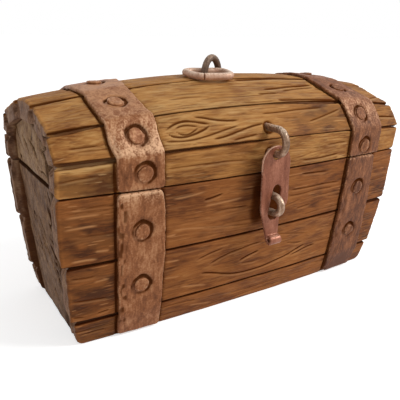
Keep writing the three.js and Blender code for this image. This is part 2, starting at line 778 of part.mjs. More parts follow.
function buildHasp() {
  const outline = haspOutline();
  outline.holes.push(roundHole(haspHoleRadius, -haspHoleDrop), slotOutline());
  const plate = new THREE.ExtrudeGeometry(outline, {
    depth: haspThickness, bevelEnabled: false, curveSegments: roundSides / 2,
  }).translate(0, 0, -haspThickness / 2);
  plate.rotateX(Math.PI / 2);
  const curlMiddle = curlRadius - haspThickness / 2;
  const sweep = 2 * Math.PI * curlSweepShare;
  const roll = new THREE.Shape();
  roll.absarc(0, 0, curlRadius, 0, -sweep, true);
  roll.absarc(0, 0, curlRadius - haspThickness, -sweep, 0, false);
  roll.closePath();
  const curl = new THREE.ExtrudeGeometry(roll, {
    depth: haspTailWidth, bevelEnabled: false, curveSegments: roundSides,
  });
  curl.rotateY(Math.PI / 2).rotateX(Math.PI / 2);
  curl.translate(-haspTailLeft, -curlMiddle, -haspTailDrop);
  const tail = boxBetween(
    new THREE.Vector3(-haspTailLeft, -haspThickness / 2, -haspTailDrop),
    new THREE.Vector3(haspTailWidth - haspTailLeft, haspThickness / 2, -haspTailDrop + haspThickness));
  const hasp = add('hasp', join([plate, tail, curl]), copper);
  hasp.position.set(0, -haspPlaneOut, haspTopUp);
}

function buildStaples() {
  add('hasp_staple', levelStaple(haspHoleUp, 2 * haspBowRadius, haspPlaneOut, haspBowRadius), bronze);
  add('lock_staple', levelStaple(lockLegUp, lockStapleLegGap, haspPlaneOut, lockStapleReach), bronze);
  add('ring_staple', archStaple(), bronze);
}

// Ring: drawn flat with its far bar on the X axis, then tipped forward and turned
function ringPoints() {
  const [halfX, r] = [ringLength / 2, ringCornerRadius];
  const corners = [
    [-halfX + r, -ringDepth + r, 1],
    [-halfX + r, -r, 0.5],
    [halfX - r, -r, 0],
    [halfX - r, -ringDepth + r, -0.5],
  ];
  const points = [new THREE.Vector3(-halfX + r, -ringDepth, 0)];
  for (const [x, y, start] of corners) {
    for (let i = 0; i <= cornerSteps; i += 1) {
      const angle = Math.PI * (start + 0.5 - i / cornerSteps / 2);
      points.push(new THREE.Vector3(x + r * Math.cos(angle), y + r * Math.sin(angle), 0));
    }
  }
  points.push(new THREE.Vector3(-halfX + r + ringCutGap, -ringDepth, 0));
  return points;
}

function buildRing() {
  const holder = new THREE.Group();
  holder.position.set(archAcross, -archForward, archGround + wireRadius + woodGap);
  holder.rotation.z = THREE.MathUtils.degToRad(ringTurnDegrees);
  chest.add(holder);
  const ring = new THREE.Mesh(wire(ringPoints(), ringSteps), bronze);
  ring.name = 'ring';
  ring.position.x = ringShift;
  ring.rotation.x = Math.asin(ringDrop / ringDepth);
  holder.add(ring);
}

buildFloor();
buildWalls();
buildEnds();
buildLid();
buildStraps();
buildRivets();
buildHasp();
buildStaples();
buildRing();

export default chest;
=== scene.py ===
# Looks of the small treasure chest: carved boards, hammered copper straps, rivets, hasp and ring.
# Lengths are millimetres, and meshes are written in metres. The origin is the middle of the
# underside, -Y is the front and +Z is up.

import math
import zlib

import bpy
import numpy as np
from mathutils import Matrix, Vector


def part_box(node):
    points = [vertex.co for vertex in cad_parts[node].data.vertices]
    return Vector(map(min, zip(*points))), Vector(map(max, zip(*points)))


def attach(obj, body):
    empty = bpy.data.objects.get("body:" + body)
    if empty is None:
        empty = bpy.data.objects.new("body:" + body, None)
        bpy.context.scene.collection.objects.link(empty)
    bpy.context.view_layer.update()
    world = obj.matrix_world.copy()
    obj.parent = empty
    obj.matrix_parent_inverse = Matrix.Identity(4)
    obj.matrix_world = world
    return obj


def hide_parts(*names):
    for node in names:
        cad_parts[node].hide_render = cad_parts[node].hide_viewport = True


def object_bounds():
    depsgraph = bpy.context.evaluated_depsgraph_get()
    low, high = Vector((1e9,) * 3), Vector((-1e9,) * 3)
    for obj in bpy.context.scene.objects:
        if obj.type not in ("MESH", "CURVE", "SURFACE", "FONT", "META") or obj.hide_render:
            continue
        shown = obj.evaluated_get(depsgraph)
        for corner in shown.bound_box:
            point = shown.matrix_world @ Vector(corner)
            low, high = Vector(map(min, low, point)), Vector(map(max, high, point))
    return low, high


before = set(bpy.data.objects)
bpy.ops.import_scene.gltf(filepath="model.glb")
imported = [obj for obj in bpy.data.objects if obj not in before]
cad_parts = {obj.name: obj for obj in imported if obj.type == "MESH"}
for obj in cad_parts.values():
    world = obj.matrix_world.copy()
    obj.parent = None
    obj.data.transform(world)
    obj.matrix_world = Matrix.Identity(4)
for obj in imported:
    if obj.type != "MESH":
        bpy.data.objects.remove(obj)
cad_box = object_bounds()

METRES = 0.001
TINY = 1e-9

# Chest: lines where two boards meet. Belly and lift are what a line gains half way along.
HALF_LENGTH = 100.0
LINES = {
    "sole": dict(out=32.8, belly=3.2, up=0.0, lift=0.0),
    "low_joint": dict(out=36.9, belly=3.4, up=13.5, lift=0.0),
    "high_joint": dict(out=40.3, belly=4.4, up=42.0, lift=0.0),
    "rim": dict(out=42.1, belly=5.7, up=72.7, lift=0.0),
    "lid_rim": dict(out=42.1, belly=5.7, up=73.1, lift=0.0),
    "shoulder": dict(out=43.9, belly=4.8, up=86.4, lift=2.6),
    "haunch": dict(out=36.8, belly=3.7, up=98.3, lift=6.4),
    "crown": dict(out=13.0, belly=1.6, up=106.0, lift=8.2),
    "ridge": dict(out=0.0, belly=0.0, up=107.4, lift=8.0),
}
# The same lines on the inner faces: out and up
INNER = {
    "sole": (24.3, 0.0),
    "low_joint": (28.4, 13.5),
    "high_joint": (31.8, 42.0),
    "rim": (33.6, 72.7),
    "lid_rim": (33.6, 73.1),
    "shoulder": (35.08, 84.6),
    "haunch": (31.14, 91.2),
    "crown": (11.22, 97.64),
    "ridge": (0.0, 97.64),
}
RIM_UP = LINES["rim"]["up"]
LID_RIM_UP = LINES["lid_rim"]["up"]
SEAM_UP = (RIM_UP + LID_RIM_UP) / 2
WOOD_GAP = 0.3
END_SETBACK = 10.0
BACK_OVERHANG = 2.0

# Camera, as the photograph's perspective gives it
IMAGE_SIZE = 400
FOCAL_PIXELS = 491.61
CAMERA_AT = np.array([-148.501, -223.162, 134.480])
CAMERA_YAW, CAMERA_PITCH, CAMERA_ROLL = (math.radians(a) for a in (32.117, 18.555, 0.848))
SENSOR = 36.0

# Steps and nudge of the search for a pixel's place on a board
NEWTON_STEPS = 8
NUDGE = 0.01
# Edges bent more than this stay sharp
SHARP_DEGREES = 70
# The first mask darkens hollows and painted shade; the fourth lightens wear and painted highlights
WOOD_MASKS = ("hollow", "light", "tone", "worn", "endgrain", "inside")


def draws(name):
    """A random generator of its own for each name, always the same one."""
    return np.random.default_rng(zlib.crc32(name.encode()))


def smooth(value):
    value = np.clip(value, 0.0, 1.0)
    return value * value * (3 - 2 * value)


def bump(distance, width):
    return np.exp(-((distance / width) ** 2))


def cut_back(distance, radius, roundness):
    """How far a rounded edge falls back at a distance from its end; roundness stays under 1."""
    return radius * (1 - np.sqrt(1 - roundness * np.clip(1 - distance / radius, 0, 1) ** 2))


def ripple(u, v, name, cells=64):
    """Smooth noise from -1 to 1, with one bump a unit in u and in v."""
    table = draws(name).uniform(-1, 1, (cells, cells))
    u, v = np.broadcast_arrays(np.asarray(u, float), np.asarray(v, float))
    iu, iv = np.floor(u).astype(int), np.floor(v).astype(int)
    fu, fv = smooth(u - iu), smooth(v - iv)
    iu, iv, ju, jv = iu % cells, iv % cells, (iu + 1) % cells, (iv + 1) % cells
    low = table[iu, iv] * (1 - fu) + table[ju, iv] * fu
    high = table[iu, jv] * (1 - fu) + table[ju, jv] * fu
    return low * (1 - fv) + high * fv


def waves(u, v, name, layers):
    """A sum of ripples; a layer is its height, its sizes along u and v, its seed word, and shifts
    along both where it has any."""
    total = 0.0
    for height, long, wide, word, *shifts in layers:
        along, across = shifts or (0, 0)
        total = total + height * ripple(u / long + along, v / wide + across, name + word)
    return total


def read_rows(rows, at):
    """The value at a place, from rows of place and value."""
    return np.interp(at, *zip(*rows))


def columns_of(rows):
    """The columns of rows of numbers, each as an upright array."""
    return (np.array(column)[:, None] for column in zip(*rows))


def points_of(x, y, z):
    return np.stack(np.broadcast_arrays(x, y, z), axis=-1)


def unit(vectors):
    return vectors / np.linalg.norm(vectors, axis=-1, keepdims=True)


def turned(a, b, angle):
    return a * math.cos(angle) - b * math.sin(angle), a * math.sin(angle) + b * math.cos(angle)


def flat_cross(a, b):
    return a[:, 0] * b[:, 1] - a[:, 1] * b[:, 0]


def circle(count):
    return np.linspace(0, 2 * math.pi, count, endpoint=False)


def quarter(count):
    return np.linspace(0, 1, count, endpoint=False) * math.pi / 2


def line_at(name, x):
    """How far out and how high a line runs at x."""
    line = LINES[name]
    share = 1 - (np.asarray(x, float) / HALF_LENGTH) ** 2
    return line["out"] + line["belly"] * share, line["up"] + line["lift"] * share


def camera_axes():
    ahead = np.array([
        math.sin(CAMERA_YAW) * math.cos(CAMERA_PITCH),
        math.cos(CAMERA_YAW) * math.cos(CAMERA_PITCH),
        -math.sin(CAMERA_PITCH),
    ])
    level = np.array([math.cos(CAMERA_YAW), -math.sin(CAMERA_YAW), 0.0])
    right, up = turned(level, np.cross(level, ahead), -CAMERA_ROLL)
    return right, up, ahead


def to_pixels(points):
    right, up, ahead = camera_axes()
    sight = points - CAMERA_AT
    depth = sight @ ahead
    middle = IMAGE_SIZE / 2
    return np.stack([
        middle + FOCAL_PIXELS * (sight @ right) / depth,
        middle - FOCAL_PIXELS * (sight @ up) / depth,
    ], axis=-1)


# Mesh helpers


def into_scene(name, data):
    made = bpy.data.objects.new(name, data)
    bpy.context.scene.collection.objects.link(made)
    return made


def write_masks(mesh, masks):
    """Vertex values that the materials read by name."""
    for mask, values in masks.items():
        attribute = mesh.attributes.new(mask, "FLOAT", "POINT")
        attribute.data.foreach_set("value", np.asarray(values, np.float32).ravel())


def object_from(name, points, faces, masks):
    """A smooth-shaded mesh object, turned outwards, from points in millimetres."""
    loops = np.concatenate([face.ravel() for face in faces])
    totals = np.concatenate([np.full(len(face), face.shape[1]) for face in faces])
    starts = np.concatenate([[0], np.cumsum(totals)[:-1]])
    mesh = bpy.data.meshes.new(name)
    mesh.vertices.add(len(points))
    mesh.vertices.foreach_set("co", (points * METRES).astype(np.float32).ravel())
    mesh.loops.add(len(loops))
    mesh.loops.foreach_set("vertex_index", loops.astype(np.int32))
    mesh.polygons.add(len(totals))
    mesh.polygons.foreach_set("loop_start", starts.astype(np.int32))
    mesh.polygons.foreach_set("use_smooth", np.ones(len(totals), bool))
    mesh.update(calc_edges=True)
    mesh.validate()
    if signed_volume(points, faces[0]) < 0:
        mesh.flip_normals()
    write_masks(mesh, masks)
    mesh.set_sharp_from_angle(angle=math.radians(SHARP_DEGREES))
    return into_scene(name, mesh)


def signed_volume(points, quads):
    a, b, c, d = (points[quads[:, i]] for i in range(4))
    return np.sum(a * np.cross(b, c)) + np.sum(a * np.cross(c, d))


def loft_faces(rings, around):
    """Quads round a row of closed rings, and one many-sided face at either end."""
    step = np.arange(around)
    start = np.arange(rings - 1)[:, None] * around
    here = start + step
    there = start + np.roll(step, -1)
    quads = np.stack([here, there, there + around, here + around], axis=-1).reshape(-1, 4)
    last = (rings - 1) * around
    return [quads, step[::-1][None], step[None] + last]


def place(piece, body, slot, material, *nodes):
    piece.data.materials.append(material)
    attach(piece, body)
    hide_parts(*nodes)
    return piece


def place_rings(name, rings, masks, *placing):
    """A closed row of rings as a piece, placed as place takes it."""
    return place(object_from(name, rings.reshape(-1, 3), loft_faces(*rings.shape[:2]), masks), *placing)


# Carving: grooves traced over the photograph, in its pixels. A row starts with the strength of its
# groove: 1 is a strong dark line, and minus marks a light scratch.
TRACED = {
    "lid_stave_front_high": [
        (1.0, (233, 79.5), (255, 78.5), (277, 77.6), (307, 78.8)),
        (0.9, (262, 89), (285, 86.6), (311, 84.2)),
        (0.7, (281, 90.6), (296, 88.2), (313.6, 86.4)),
        (0.7, (257, 93.4), (279, 92)),
        (0.9, (277, 99.4), (296, 98.6), (315, 98.2), (335, 99)),
        (0.5, (166, 100), (190, 96.5), (206, 95.6)),
        (0.5, (240, 102.4), (262, 100.8), (276, 100.2)),
        (-0.5, (143.6, 92), (175.7, 89.3)),
        (0.6, (365.4, 98.7), (379.6, 96)),
        (0.5, (126, 88.4), (132, 88)),
    ],
    "lid_stave_front_middle": [
        (0.4, (155, 118.8), (170.4, 116), (188, 114.3)),
        (1.0, (191.8, 116.5), (202.5, 117), (213.2, 119.2), (230, 120.2), (240, 119.4)),
        (1.0, (165, 130.8), (170.4, 125.9), (179.3, 121.4), (190, 120.5), (204.3, 122.8), (211.4, 123.7)),
        (1.0, (165, 130.8), (168.6, 133.9), (174.8, 137), (186.4, 137), (197.1, 133), (206, 128.6),
         (211.4, 123.7)),
        (0.8, (174.4, 129), (179.3, 125.9), (186.4, 124.6), (192.7, 125.4), (199.8, 126.3)),
        (0.8, (174.4, 129), (176.6, 131.7), (181, 133.9), (186.4, 134.8), (190.9, 133.5), (199.8, 126.3)),
        (0.8, (163.2, 141.5), (188.2, 141), (206, 136.6), (226.8, 128.8), (240, 124.7)),
        (0.9, (212.3, 139.3), (219.5, 138), (226.8, 135.9), (240, 130.5), (253.6, 125.2), (266, 122.5)),
        (0.8, (233, 140.4), (242, 137.7), (253.6, 135), (259.8, 133.7)),
        (0.35, (200, 115), (231, 114.5), (254, 114), (280, 111.5)),
        (0.7, (260, 113.4), (277.9, 111.6), (302, 108), (322.5, 107)),
        (0.7, (308.2, 121.4), (322.5, 116), (340.4, 108)),
        (0.35, (281.4, 129), (298.4, 128.6)),
        (0.9, (377, 116), (394.8, 116.5)),
        (0.7, (65.5, 149.7), (82.9, 147.2), (101.2, 145)),
        (0.5, (48, 143.8), (54, 142)),
    ],
    "lid_stave_front_low": [
        (0.6, (165, 169.6), (190, 166), (217.7, 162.5)),
        (0.6, (200, 165.8), (213, 163.6), (226.8, 161.3), (248, 160)),
        (0.8, (301, 160.4), (316, 158.7), (326.8, 156.4), (340, 152.9)),
        (0.7, (325.9, 144.8), (349, 141)),
        (-0.5, (289, 153), (307, 151)),
        (0.6, (56.4, 184.5), (74.6, 180.3), (91.2, 177.4), (99.5, 176.2)),
    ],
    "front_plank_top": [
        (0.9, (203.6, 200.6), (213.4, 198), (224, 193.5)),
        (-0.6, (204.5, 206.4), (222.3, 202.9), (243.8, 197.5)),
        (0.6, (213.4, 211.8), (231.3, 208.2), (250, 205.5)),
        (0.5, (200, 227.9), (217.9, 227.9), (240, 225.2), (250, 223.4)),
        (-0.6, (173.2, 230.7), (189.3, 228.5), (211.6, 227.6), (240, 226.3)),
        (0.7, (290, 190.4), (307, 187.7), (325, 183.2), (340, 181.4)),
        (0.8, (301, 174.3), (316, 172.5), (329.5, 170.7)),
        (0.6, (287.5, 196.6), (302.7, 194), (316, 189.5), (334, 186.8)),
        (0.6, (295.5, 209), (311.6, 203.3)),
        (0.4, (281, 208), (301, 199)),
        (-0.6, (173, 199.5), (189, 196.8), (207, 191.4)),
        (-0.6, (165, 237.4), (176.8, 234.3)),
        (-0.7, (64.3, 219.6), (81.6, 217), (102, 214.5)),
        (-0.7, (63.3, 231.8), (86.7, 227.2), (99, 225.7)),
        (-0.7, (94.9, 252.2), (110, 250.2)),
        (-0.7, (70.4, 263.5), (86.7, 260.4), (98, 259.4)),
    ],
    "front_plank_middle": [
        (0.7, (196.4, 260.6), (211.6, 253.2), (225, 247.9)),
        (0.7, (208, 265.7), (217.9, 259.5), (231.3, 252.3), (242.9, 248.3), (253.6, 243.8), (263.4, 241.2)),
        (1.0, (238.4, 261.7), (246.4, 256.8), (255.4, 252.3), (260.7, 250.1)),
        (0.6, (240.2, 263.5), (249.1, 262.1), (257.1, 260.8)),
        (0.9, (200, 273.8), (208.9, 272.9), (222.3, 273.8), (235.7, 273.8), (249.1, 270.6), (262.5, 266.6),
         (275.9, 260.4), (287.5, 255), (296.4, 248.8), (306.3, 243.4)),
        (0.6, (285.7, 242.5), (296.4, 243), (301.8, 241.6)),
        (0.8, (289.3, 255.9), (298.2, 251.4), (307.1, 246.5), (316, 243.4)),
        (0.5, (276.8, 234), (290, 233.4), (307, 233.1)),
        (-0.6, (165, 262.9), (180, 260.2)),
        (-0.6, (164, 279), (180, 276.3)),
        (-0.6, (180, 287), (207, 284.7)),
        (0.6, (69.4, 280.8), (87.8, 278.8), (98, 275.7)),
        (-0.6, (93.9, 282.9), (110, 278.8)),
        (0.7, (70.4, 303.3), (86.7, 301.2), (110, 297.1)),
        (0.6, (72.4, 319), (84.7, 317.6)),
        (0.7, (96.9, 314), (110, 309.4)),
    ],
    "front_plank_bottom": [
        (0.6, (77.6, 336.9), (91.8, 331.8), (110, 327.8)),
        (-0.6, (189, 305.7), (211.6, 302)),
    ],
}

CORNER_CUT = 0.25


def rounded(points, passes=3):
    """Cuts the corners of an open row of points, and keeps its ends."""
    points = np.asarray(points, float)
    for _ in range(passes):
        if len(points) < 3:
            break
        early = (1 - CORNER_CUT) * points[:-1] + CORNER_CUT * points[1:]
        late = CORNER_CUT * points[:-1] + (1 - CORNER_CUT) * points[1:]
        middle = np.stack([early, late], axis=1).reshape(-1, points.shape[1])
        points = np.concatenate([points[:1], middle[1:-1], points[-1:]])
    return points


# Straps: each lies on a chain of wood lines. Rows give the way along the chain (the number of the
# line it has reached), and the strap's middle and width there.
WALL_LINES = ("sole", "low_joint", "high_joint", "rim")
LID_LINES = ("lid_rim", "shoulder", "haunch", "crown", "ridge")
LID_CHAIN_END = 2 * (len(LID_LINES) - 1)
STRAPS = {
    "left": dict(x=-66.2, width=21.5),
    "right": dict(x=66.2, width=25.0),
}
STRAP_PATHS = {
    ("lid", "left"): (
        (0, -65.9, 20.6), (1, -66.4, 20.9), (1.4, -67.2, 21.0), (2, -67.8, 21.0), (2.5, -68.1, 20.0),
        (3, -67.7, 19.4), (4, -67.2, 23.6), (5, -66.6, 21.5), (9, -66.2, 21.5)),
    ("lid", "right"): (
        (0, 69.0, 24.0), (0.9, 68.3, 23.2), (1.4, 68.0, 24.6), (1.8, 66.6, 25.4), (2.1, 64.6, 25.6),
        (3, 63.4, 24.4), (4, 65.0, 25.0), (5, 66.2, 25.0), (9, 66.2, 25.0)),
    ("front", "left"): (
        (0, -64.5, 20.8), (1.3, -65.3, 21.4), (2.3, -65.4, 22.0), (2.7, -65.7, 21.2), (3, -66.3, 19.9)),
    ("front", "right"): (
        (0, 67.5, 21.2), (1, 67.9, 25.0), (1.6, 68.2, 24.8), (2.1, 67.9, 23.3), (3, 67.8, 22.0)),
}
# The bed that a strap's edges press into the wood, where the wood is painted dark as shade beside the strap
BED_DEPTH = 0.9
BED_WIDTH = 0.72
BED_OUTSIDE = 0.35


def strap_at(wall, side, way):
    """Middle and width of a strap at its way along the chain."""
    spec = STRAPS[side]
    straight = ((0, spec["x"], spec["width"]),)
    ways, middles, widths = zip(*STRAP_PATHS.get((wall, side), straight))
    return np.interp(way, ways, middles), np.interp(way, ways, widths)


def strap_bed(face, x, share):
    """The groove that a strap's edges leave in the wood, from 0 to 1."""
    if face.low in WALL_LINES:
        wall = "front" if face.side < 0 else "back"
        way = WALL_LINES.index(face.low) + share
    else:
        wall = "lid"
        way = LID_LINES.index(face.low) + share * (2 if face.high == face.low else 1)
        way = way if face.side < 0 else LID_CHAIN_END - way
    bed = np.zeros_like(x)
    for side in STRAPS:
        middle, width = strap_at(wall, side, way)
        bed = np.maximum(bed, bump(np.abs(x - middle) - width / 2 - BED_OUTSIDE, BED_WIDTH))
    return bed


# Boards of a wall: low and high line, and how far in the left and the right end stand at these two
# lines, as shares of the end setback
BOARDS = {
    "plank_bottom": ("sole", "low_joint", (0.72, 0.52), (1.1, 1.0)),
    "plank_middle": ("low_joint", "high_joint", (0.38, 0.25), (0.8, 0.45)),
    "plank_top": ("high_joint", "rim", (0.07, 0.0), (0.25, 0.1)),
    "stave_low": ("lid_rim", "shoulder", (0.02, 0.04), (0.15, 0.2)),
    "stave_middle": ("shoulder", "haunch", (0.06, 0.0), (0.05, 0.25)),
    "stave_high": ("haunch", "crown", (0.04, 0.1), (0.45, 0.25)),
}
OPEN_LINES = ("sole", "rim", "lid_rim")
STATION_STEP = 0.9
ACROSS_STEP = 0.36
LEAST_STEPS = 8
CORNER_STEPS = 5
INNER_STEPS = 7
END_ROUNDING = 1.0
END_ROUNDNESS = 0.97
END_ROUND_SHARES = (0.0, 0.08, 0.25, 0.5, 1.0)
# How much longer a board's look is at its left and right end
END_REACH = {
    "front_plank_bottom": (0.8, 1.5),
    "front_plank_middle": (0.8, 1.5),
    "front_plank_top": (0.8, 0.8),
    "lid_stave_front_low": (0.8, 0.4),
    "lid_stave_front_middle": (0.8, 0.0),
    "lid_stave_front_high": (0.5, 0.8),
    "back_plank_bottom": (1.0, 0.0),
    "back_plank_middle": (0.6, 0.0),
}
# The farthest that any board may reach, left and right
FARTHEST = (-101.95, 99.3)


class Face:
    """The outer face of one board: x along it, share from its low line to its high line."""

    def __init__(self, name, low, high, left, right, side):
        self.name, self.low, self.high, self.side = name, low, high, side
        self.left, self.right = left, right

    def ends(self, share):
        """Left and right end of the board at a share of its height."""
        ups = [LINES[self.low]["up"], LINES[self.high]["up"]]
        hang = [BACK_OVERHANG * min(up / RIM_UP, 1) if self.side > 0 else 0.0 for up in ups]
        reach = END_REACH.get(self.name, (0.0, 0.0))
        left = [max(END_SETBACK * s - HALF_LENGTH - h - reach[0], FARTHEST[0])
                for s, h in zip(self.left, hang)]
        right = [min(HALF_LENGTH - END_SETBACK * s + reach[1], FARTHEST[1]) for s in self.right]
        share = np.clip(share, 0, 1)
        return tuple(low + (high - low) * share for low, high in (left, right))

    def outer(self, x, share):
        (low_out, low_up), (high_out, high_up) = line_at(self.low, x), line_at(self.high, x)
        out = low_out + (high_out - low_out) * share
        return points_of(x, self.side * out, low_up + (high_up - low_up) * share)

    def inner(self, x, share):
        low, high = INNER[self.low], INNER[self.high]
        out = low[0] + (high[0] - low[0]) * share
        up = low[1] + (high[1] - low[1]) * share
        return points_of(x, self.side * out, up)

    def width(self, x):
        (low_out, low_up), (high_out, high_up) = line_at(self.low, x), line_at(self.high, x)
        return np.hypot(high_out - low_out, high_up - low_up)

    def from_pixels(self, pixels):
        """Where pixels of the photograph lie on this face, as x and the distance from the low line."""
        pixels = np.asarray(pixels, float)
        x, share = np.zeros(len(pixels)), np.full(len(pixels), 0.5)
        for _ in range(NEWTON_STEPS):
            here = to_pixels(self.outer(x, share))
            by_x = (to_pixels(self.outer(x + NUDGE, share)) - here) / NUDGE
            by_share = (to_pixels(self.outer(x, share + NUDGE)) - here) / NUDGE
            area = flat_cross(by_x, by_share)
            miss = pixels - here
            x = x + flat_cross(miss, by_share) / area
            share = share + flat_cross(by_x, miss) / area
        return x, share * self.width(x)


class CrownFace(Face):
    """The stave over the ridge, from the front crown line to the back one."""

    def outer(self, x, share):
        out, up = line_at("crown", x)
        _, ridge = line_at("ridge", x)
        way = 2 * share - 1
        return points_of(x, out * way, up + (ridge - up) * (1 - way ** 2))

    def inner(self, x, share):
        out, up = INNER["crown"]
        way = 2 * share - 1
        return points_of(x, out * way, up)

    def width(self, x):
        return 2 * line_at("crown", x)[0]


def traced_grooves(face):
    """The traced grooves of one board: along, across and strength of each."""
    grooves = []
    for strength, *pixels in TRACED.get(face.name, []):
        along, across = face.from_pixels(rounded(pixels))
        grooves.append((along, across, strength))
    return grooves


# Filler grooves between the traced ones, all seeded: one for so many square millimetres
FILLER_AREA = 54.0
FILLER_LENGTH = (8.0, 42.0)
FILLER_STRENGTH = (0.12, 0.5)
FILLER_MARGIN = 0.08
FILLER_RISE = 0.035
FILLER_BOW = 0.5
FILLER_POINTS = 12
FILLER_CLEARANCE = 1.2
# What a filler's strength is taken times: two in three are dark, and one is a light scratch
FILLER_KINDS = (1, 1, -0.5)
FAR_OFF = -99.0


def filler_grooves(face, width, taken):
    """Short made-up grooves that keep clear of those already taken."""
    dice = draws(face.name + " filler")
    grooves = []
    for _ in range(int(2 * HALF_LENGTH * width / FILLER_AREA)):
        length = dice.uniform(*FILLER_LENGTH)
        start = dice.uniform(-HALF_LENGTH, HALF_LENGTH - length / 2)
        across = dice.uniform(FILLER_MARGIN, 1 - FILLER_MARGIN) * width
        rise, bow = dice.normal(0, FILLER_RISE), dice.normal(0, FILLER_BOW)
        strength = dice.uniform(*FILLER_STRENGTH)
        along = np.linspace(start, start + length, FILLER_POINTS)
        way = np.linspace(-1, 1, FILLER_POINTS)
        path = across + rise * length * way / 2 + bow * (1 - way ** 2)
        away = [np.abs(np.interp(along, a, b, left=FAR_OFF, right=FAR_OFF) - path) for a, b, _ in taken]
        if any(np.any(gap < FILLER_CLEARANCE) for gap in away):
            continue
        grooves.append((along, path, strength * dice.choice(FILLER_KINDS)))
    return grooves


GROOVE_DEPTH = 0.68
GROOVE_WIDTH = 0.48
# A groove's width as a share, for no strength and for what full strength adds
GROOVE_SPREAD = (0.6, 0.5)
# A groove fades out at its ends over this length, or over this share of it if it is short
FADE_LENGTH = 4.0
FADE_SHARE = 0.22
SCRATCH_LIGHT = 1.3
SCRATCH_DEPTH = 0.3
# The raised lip beside a groove: its height, and its place and width in groove widths
LIP_HEIGHT = 0.12
LIP_AWAY = 2.0
LIP_WIDTH = 1.1
LIP_LIGHT = 0.5
# Boards that the camera sees at a slant have wider grooves
WIDE_GROOVES = {"lid_stave_front_high": 2.2, "lid_stave_crown": 2.2}


def carve(x, across, grooves, wide):
    """Depth of the carving and its dark and light shares, over a grid of points of a board's face."""
    depth, dark, light = np.zeros_like(x), np.zeros_like(x), np.zeros_like(x)
    for along, path, strength in grooves:
        order = np.argsort(along)
        along, path = along[order], path[order]
        reach = along[-1] - along[0]
        rows = np.flatnonzero((x[:, 0] > along[0] - 1) & (x[:, 0] < along[-1] + 1))
        if not len(rows) or reach < TINY:
            continue
        px = x[rows]
        slope = np.interp(px, along, np.gradient(path, along + np.arange(len(along)) * TINY))
        away = (across[rows] - np.interp(px, along, path)) / np.sqrt(1 + slope ** 2)
        fade = min(FADE_LENGTH, FADE_SHARE * reach)
        taper = smooth((px - along[0]) / fade) * smooth((along[-1] - px) / fade)
        level = abs(strength) * np.sqrt(taper)
        width = wide * GROOVE_WIDTH * (GROOVE_SPREAD[0] + GROOVE_SPREAD[1] * level)
        cut = bump(away, width) * level
        lip = bump(away + LIP_AWAY * width, LIP_WIDTH * width) * level
        share = SCRATCH_DEPTH if strength < 0 else 1.0
        depth[rows] = np.maximum(depth[rows], cut * GROOVE_DEPTH * share) - lip * LIP_HEIGHT
        if strength < 0:
            light[rows] = np.maximum(light[rows], np.minimum(SCRATCH_LIGHT * cut, 1))
        else:
            dark[rows] = np.maximum(dark[rows], cut)
            light[rows] = np.maximum(light[rows], LIP_LIGHT * lip)
    return depth, dark, light


# How light a board's wood is along it, from -1 to 1
TONES = {
    "front_plank_bottom": (
        (-100, -1.4), (-80, -2.0), (-72, -1.4), (-60, -0.1), (0, 0.0), (50, 0.1), (100, -0.9)),
    "front_plank_middle": (
        (-100, -0.9), (-80, -0.7), (-74, -0.1), (0, 0.05), (50, 0.25), (80, -0.6), (100, -0.9)),
    "front_plank_top": ((-100, -0.9), (-80, -0.8), (-50, -0.3), (10, -0.2), (50, -0.9), (100, -0.8)),
    "lid_stave_front_low": (
        (-100, -0.4), (-80, -0.4), (-50, -0.45), (-20, -0.4), (20, -0.1), (50, 0.15), (80, -0.3),
        (100, -0.9)),
    "lid_stave_front_middle": (
        (-100, -0.1), (-80, -0.1), (-50, 0.3), (-10, 0.4), (15, -0.6), (35, -1.6), (60, -1.1),
        (100, -1.1)),
    "lid_stave_front_high": ((-100, 0.1), (-50, 0.6), (30, 0.1), (60, -0.1), (80, -0.6), (100, -0.8)),
    "lid_stave_crown": ((-100, 0.0), (0, 0.2), (100, 0.0)),
}
PLAIN_TONE = ((0, -0.15),)
# Stains and paler spots of a board: x, up, half length, half height and change of tone
STAINS = {
    "lid_stave_front_low": (
        (-89, 77.6, 15, 5.2, -2.6), (-87, 85.6, 14, 2.6, 3.4), (-30, 76, 20, 3, -0.4)),
    "lid_stave_front_middle": ((-52, 92, 9, 3, 0.5), (-20, 88, 14, 2, -0.4), (70, 90, 9, 5, -0.5)),
    "front_plank_top": (
        (-50, 68, 12, 4, -0.8), (30, 58, 16, 4, 0.15), (-88, 60, 10, 14, -0.5)),
    "front_plank_middle": (
        (-48, 36, 10, 5, -0.5), (20, 22, 24, 5, 0.4), (-86, 30, 10, 14, -0.4)),
    "lid_stave_front_high": ((-20, 103, 30, 3, 0.6), (55, 104, 9, 3, -0.4)),
}
# Blotches of tone: layers, share everywhere, and what is added left of a place, over a length
BLOTCHES = ((0.9, 7, 3, " blotch"),)
BLOTCH_SHARE = 0.35
BLOTCH_LEFT = 0.3
BLOTCH_LEFT_OF = -60
BLOTCH_FADE = 20

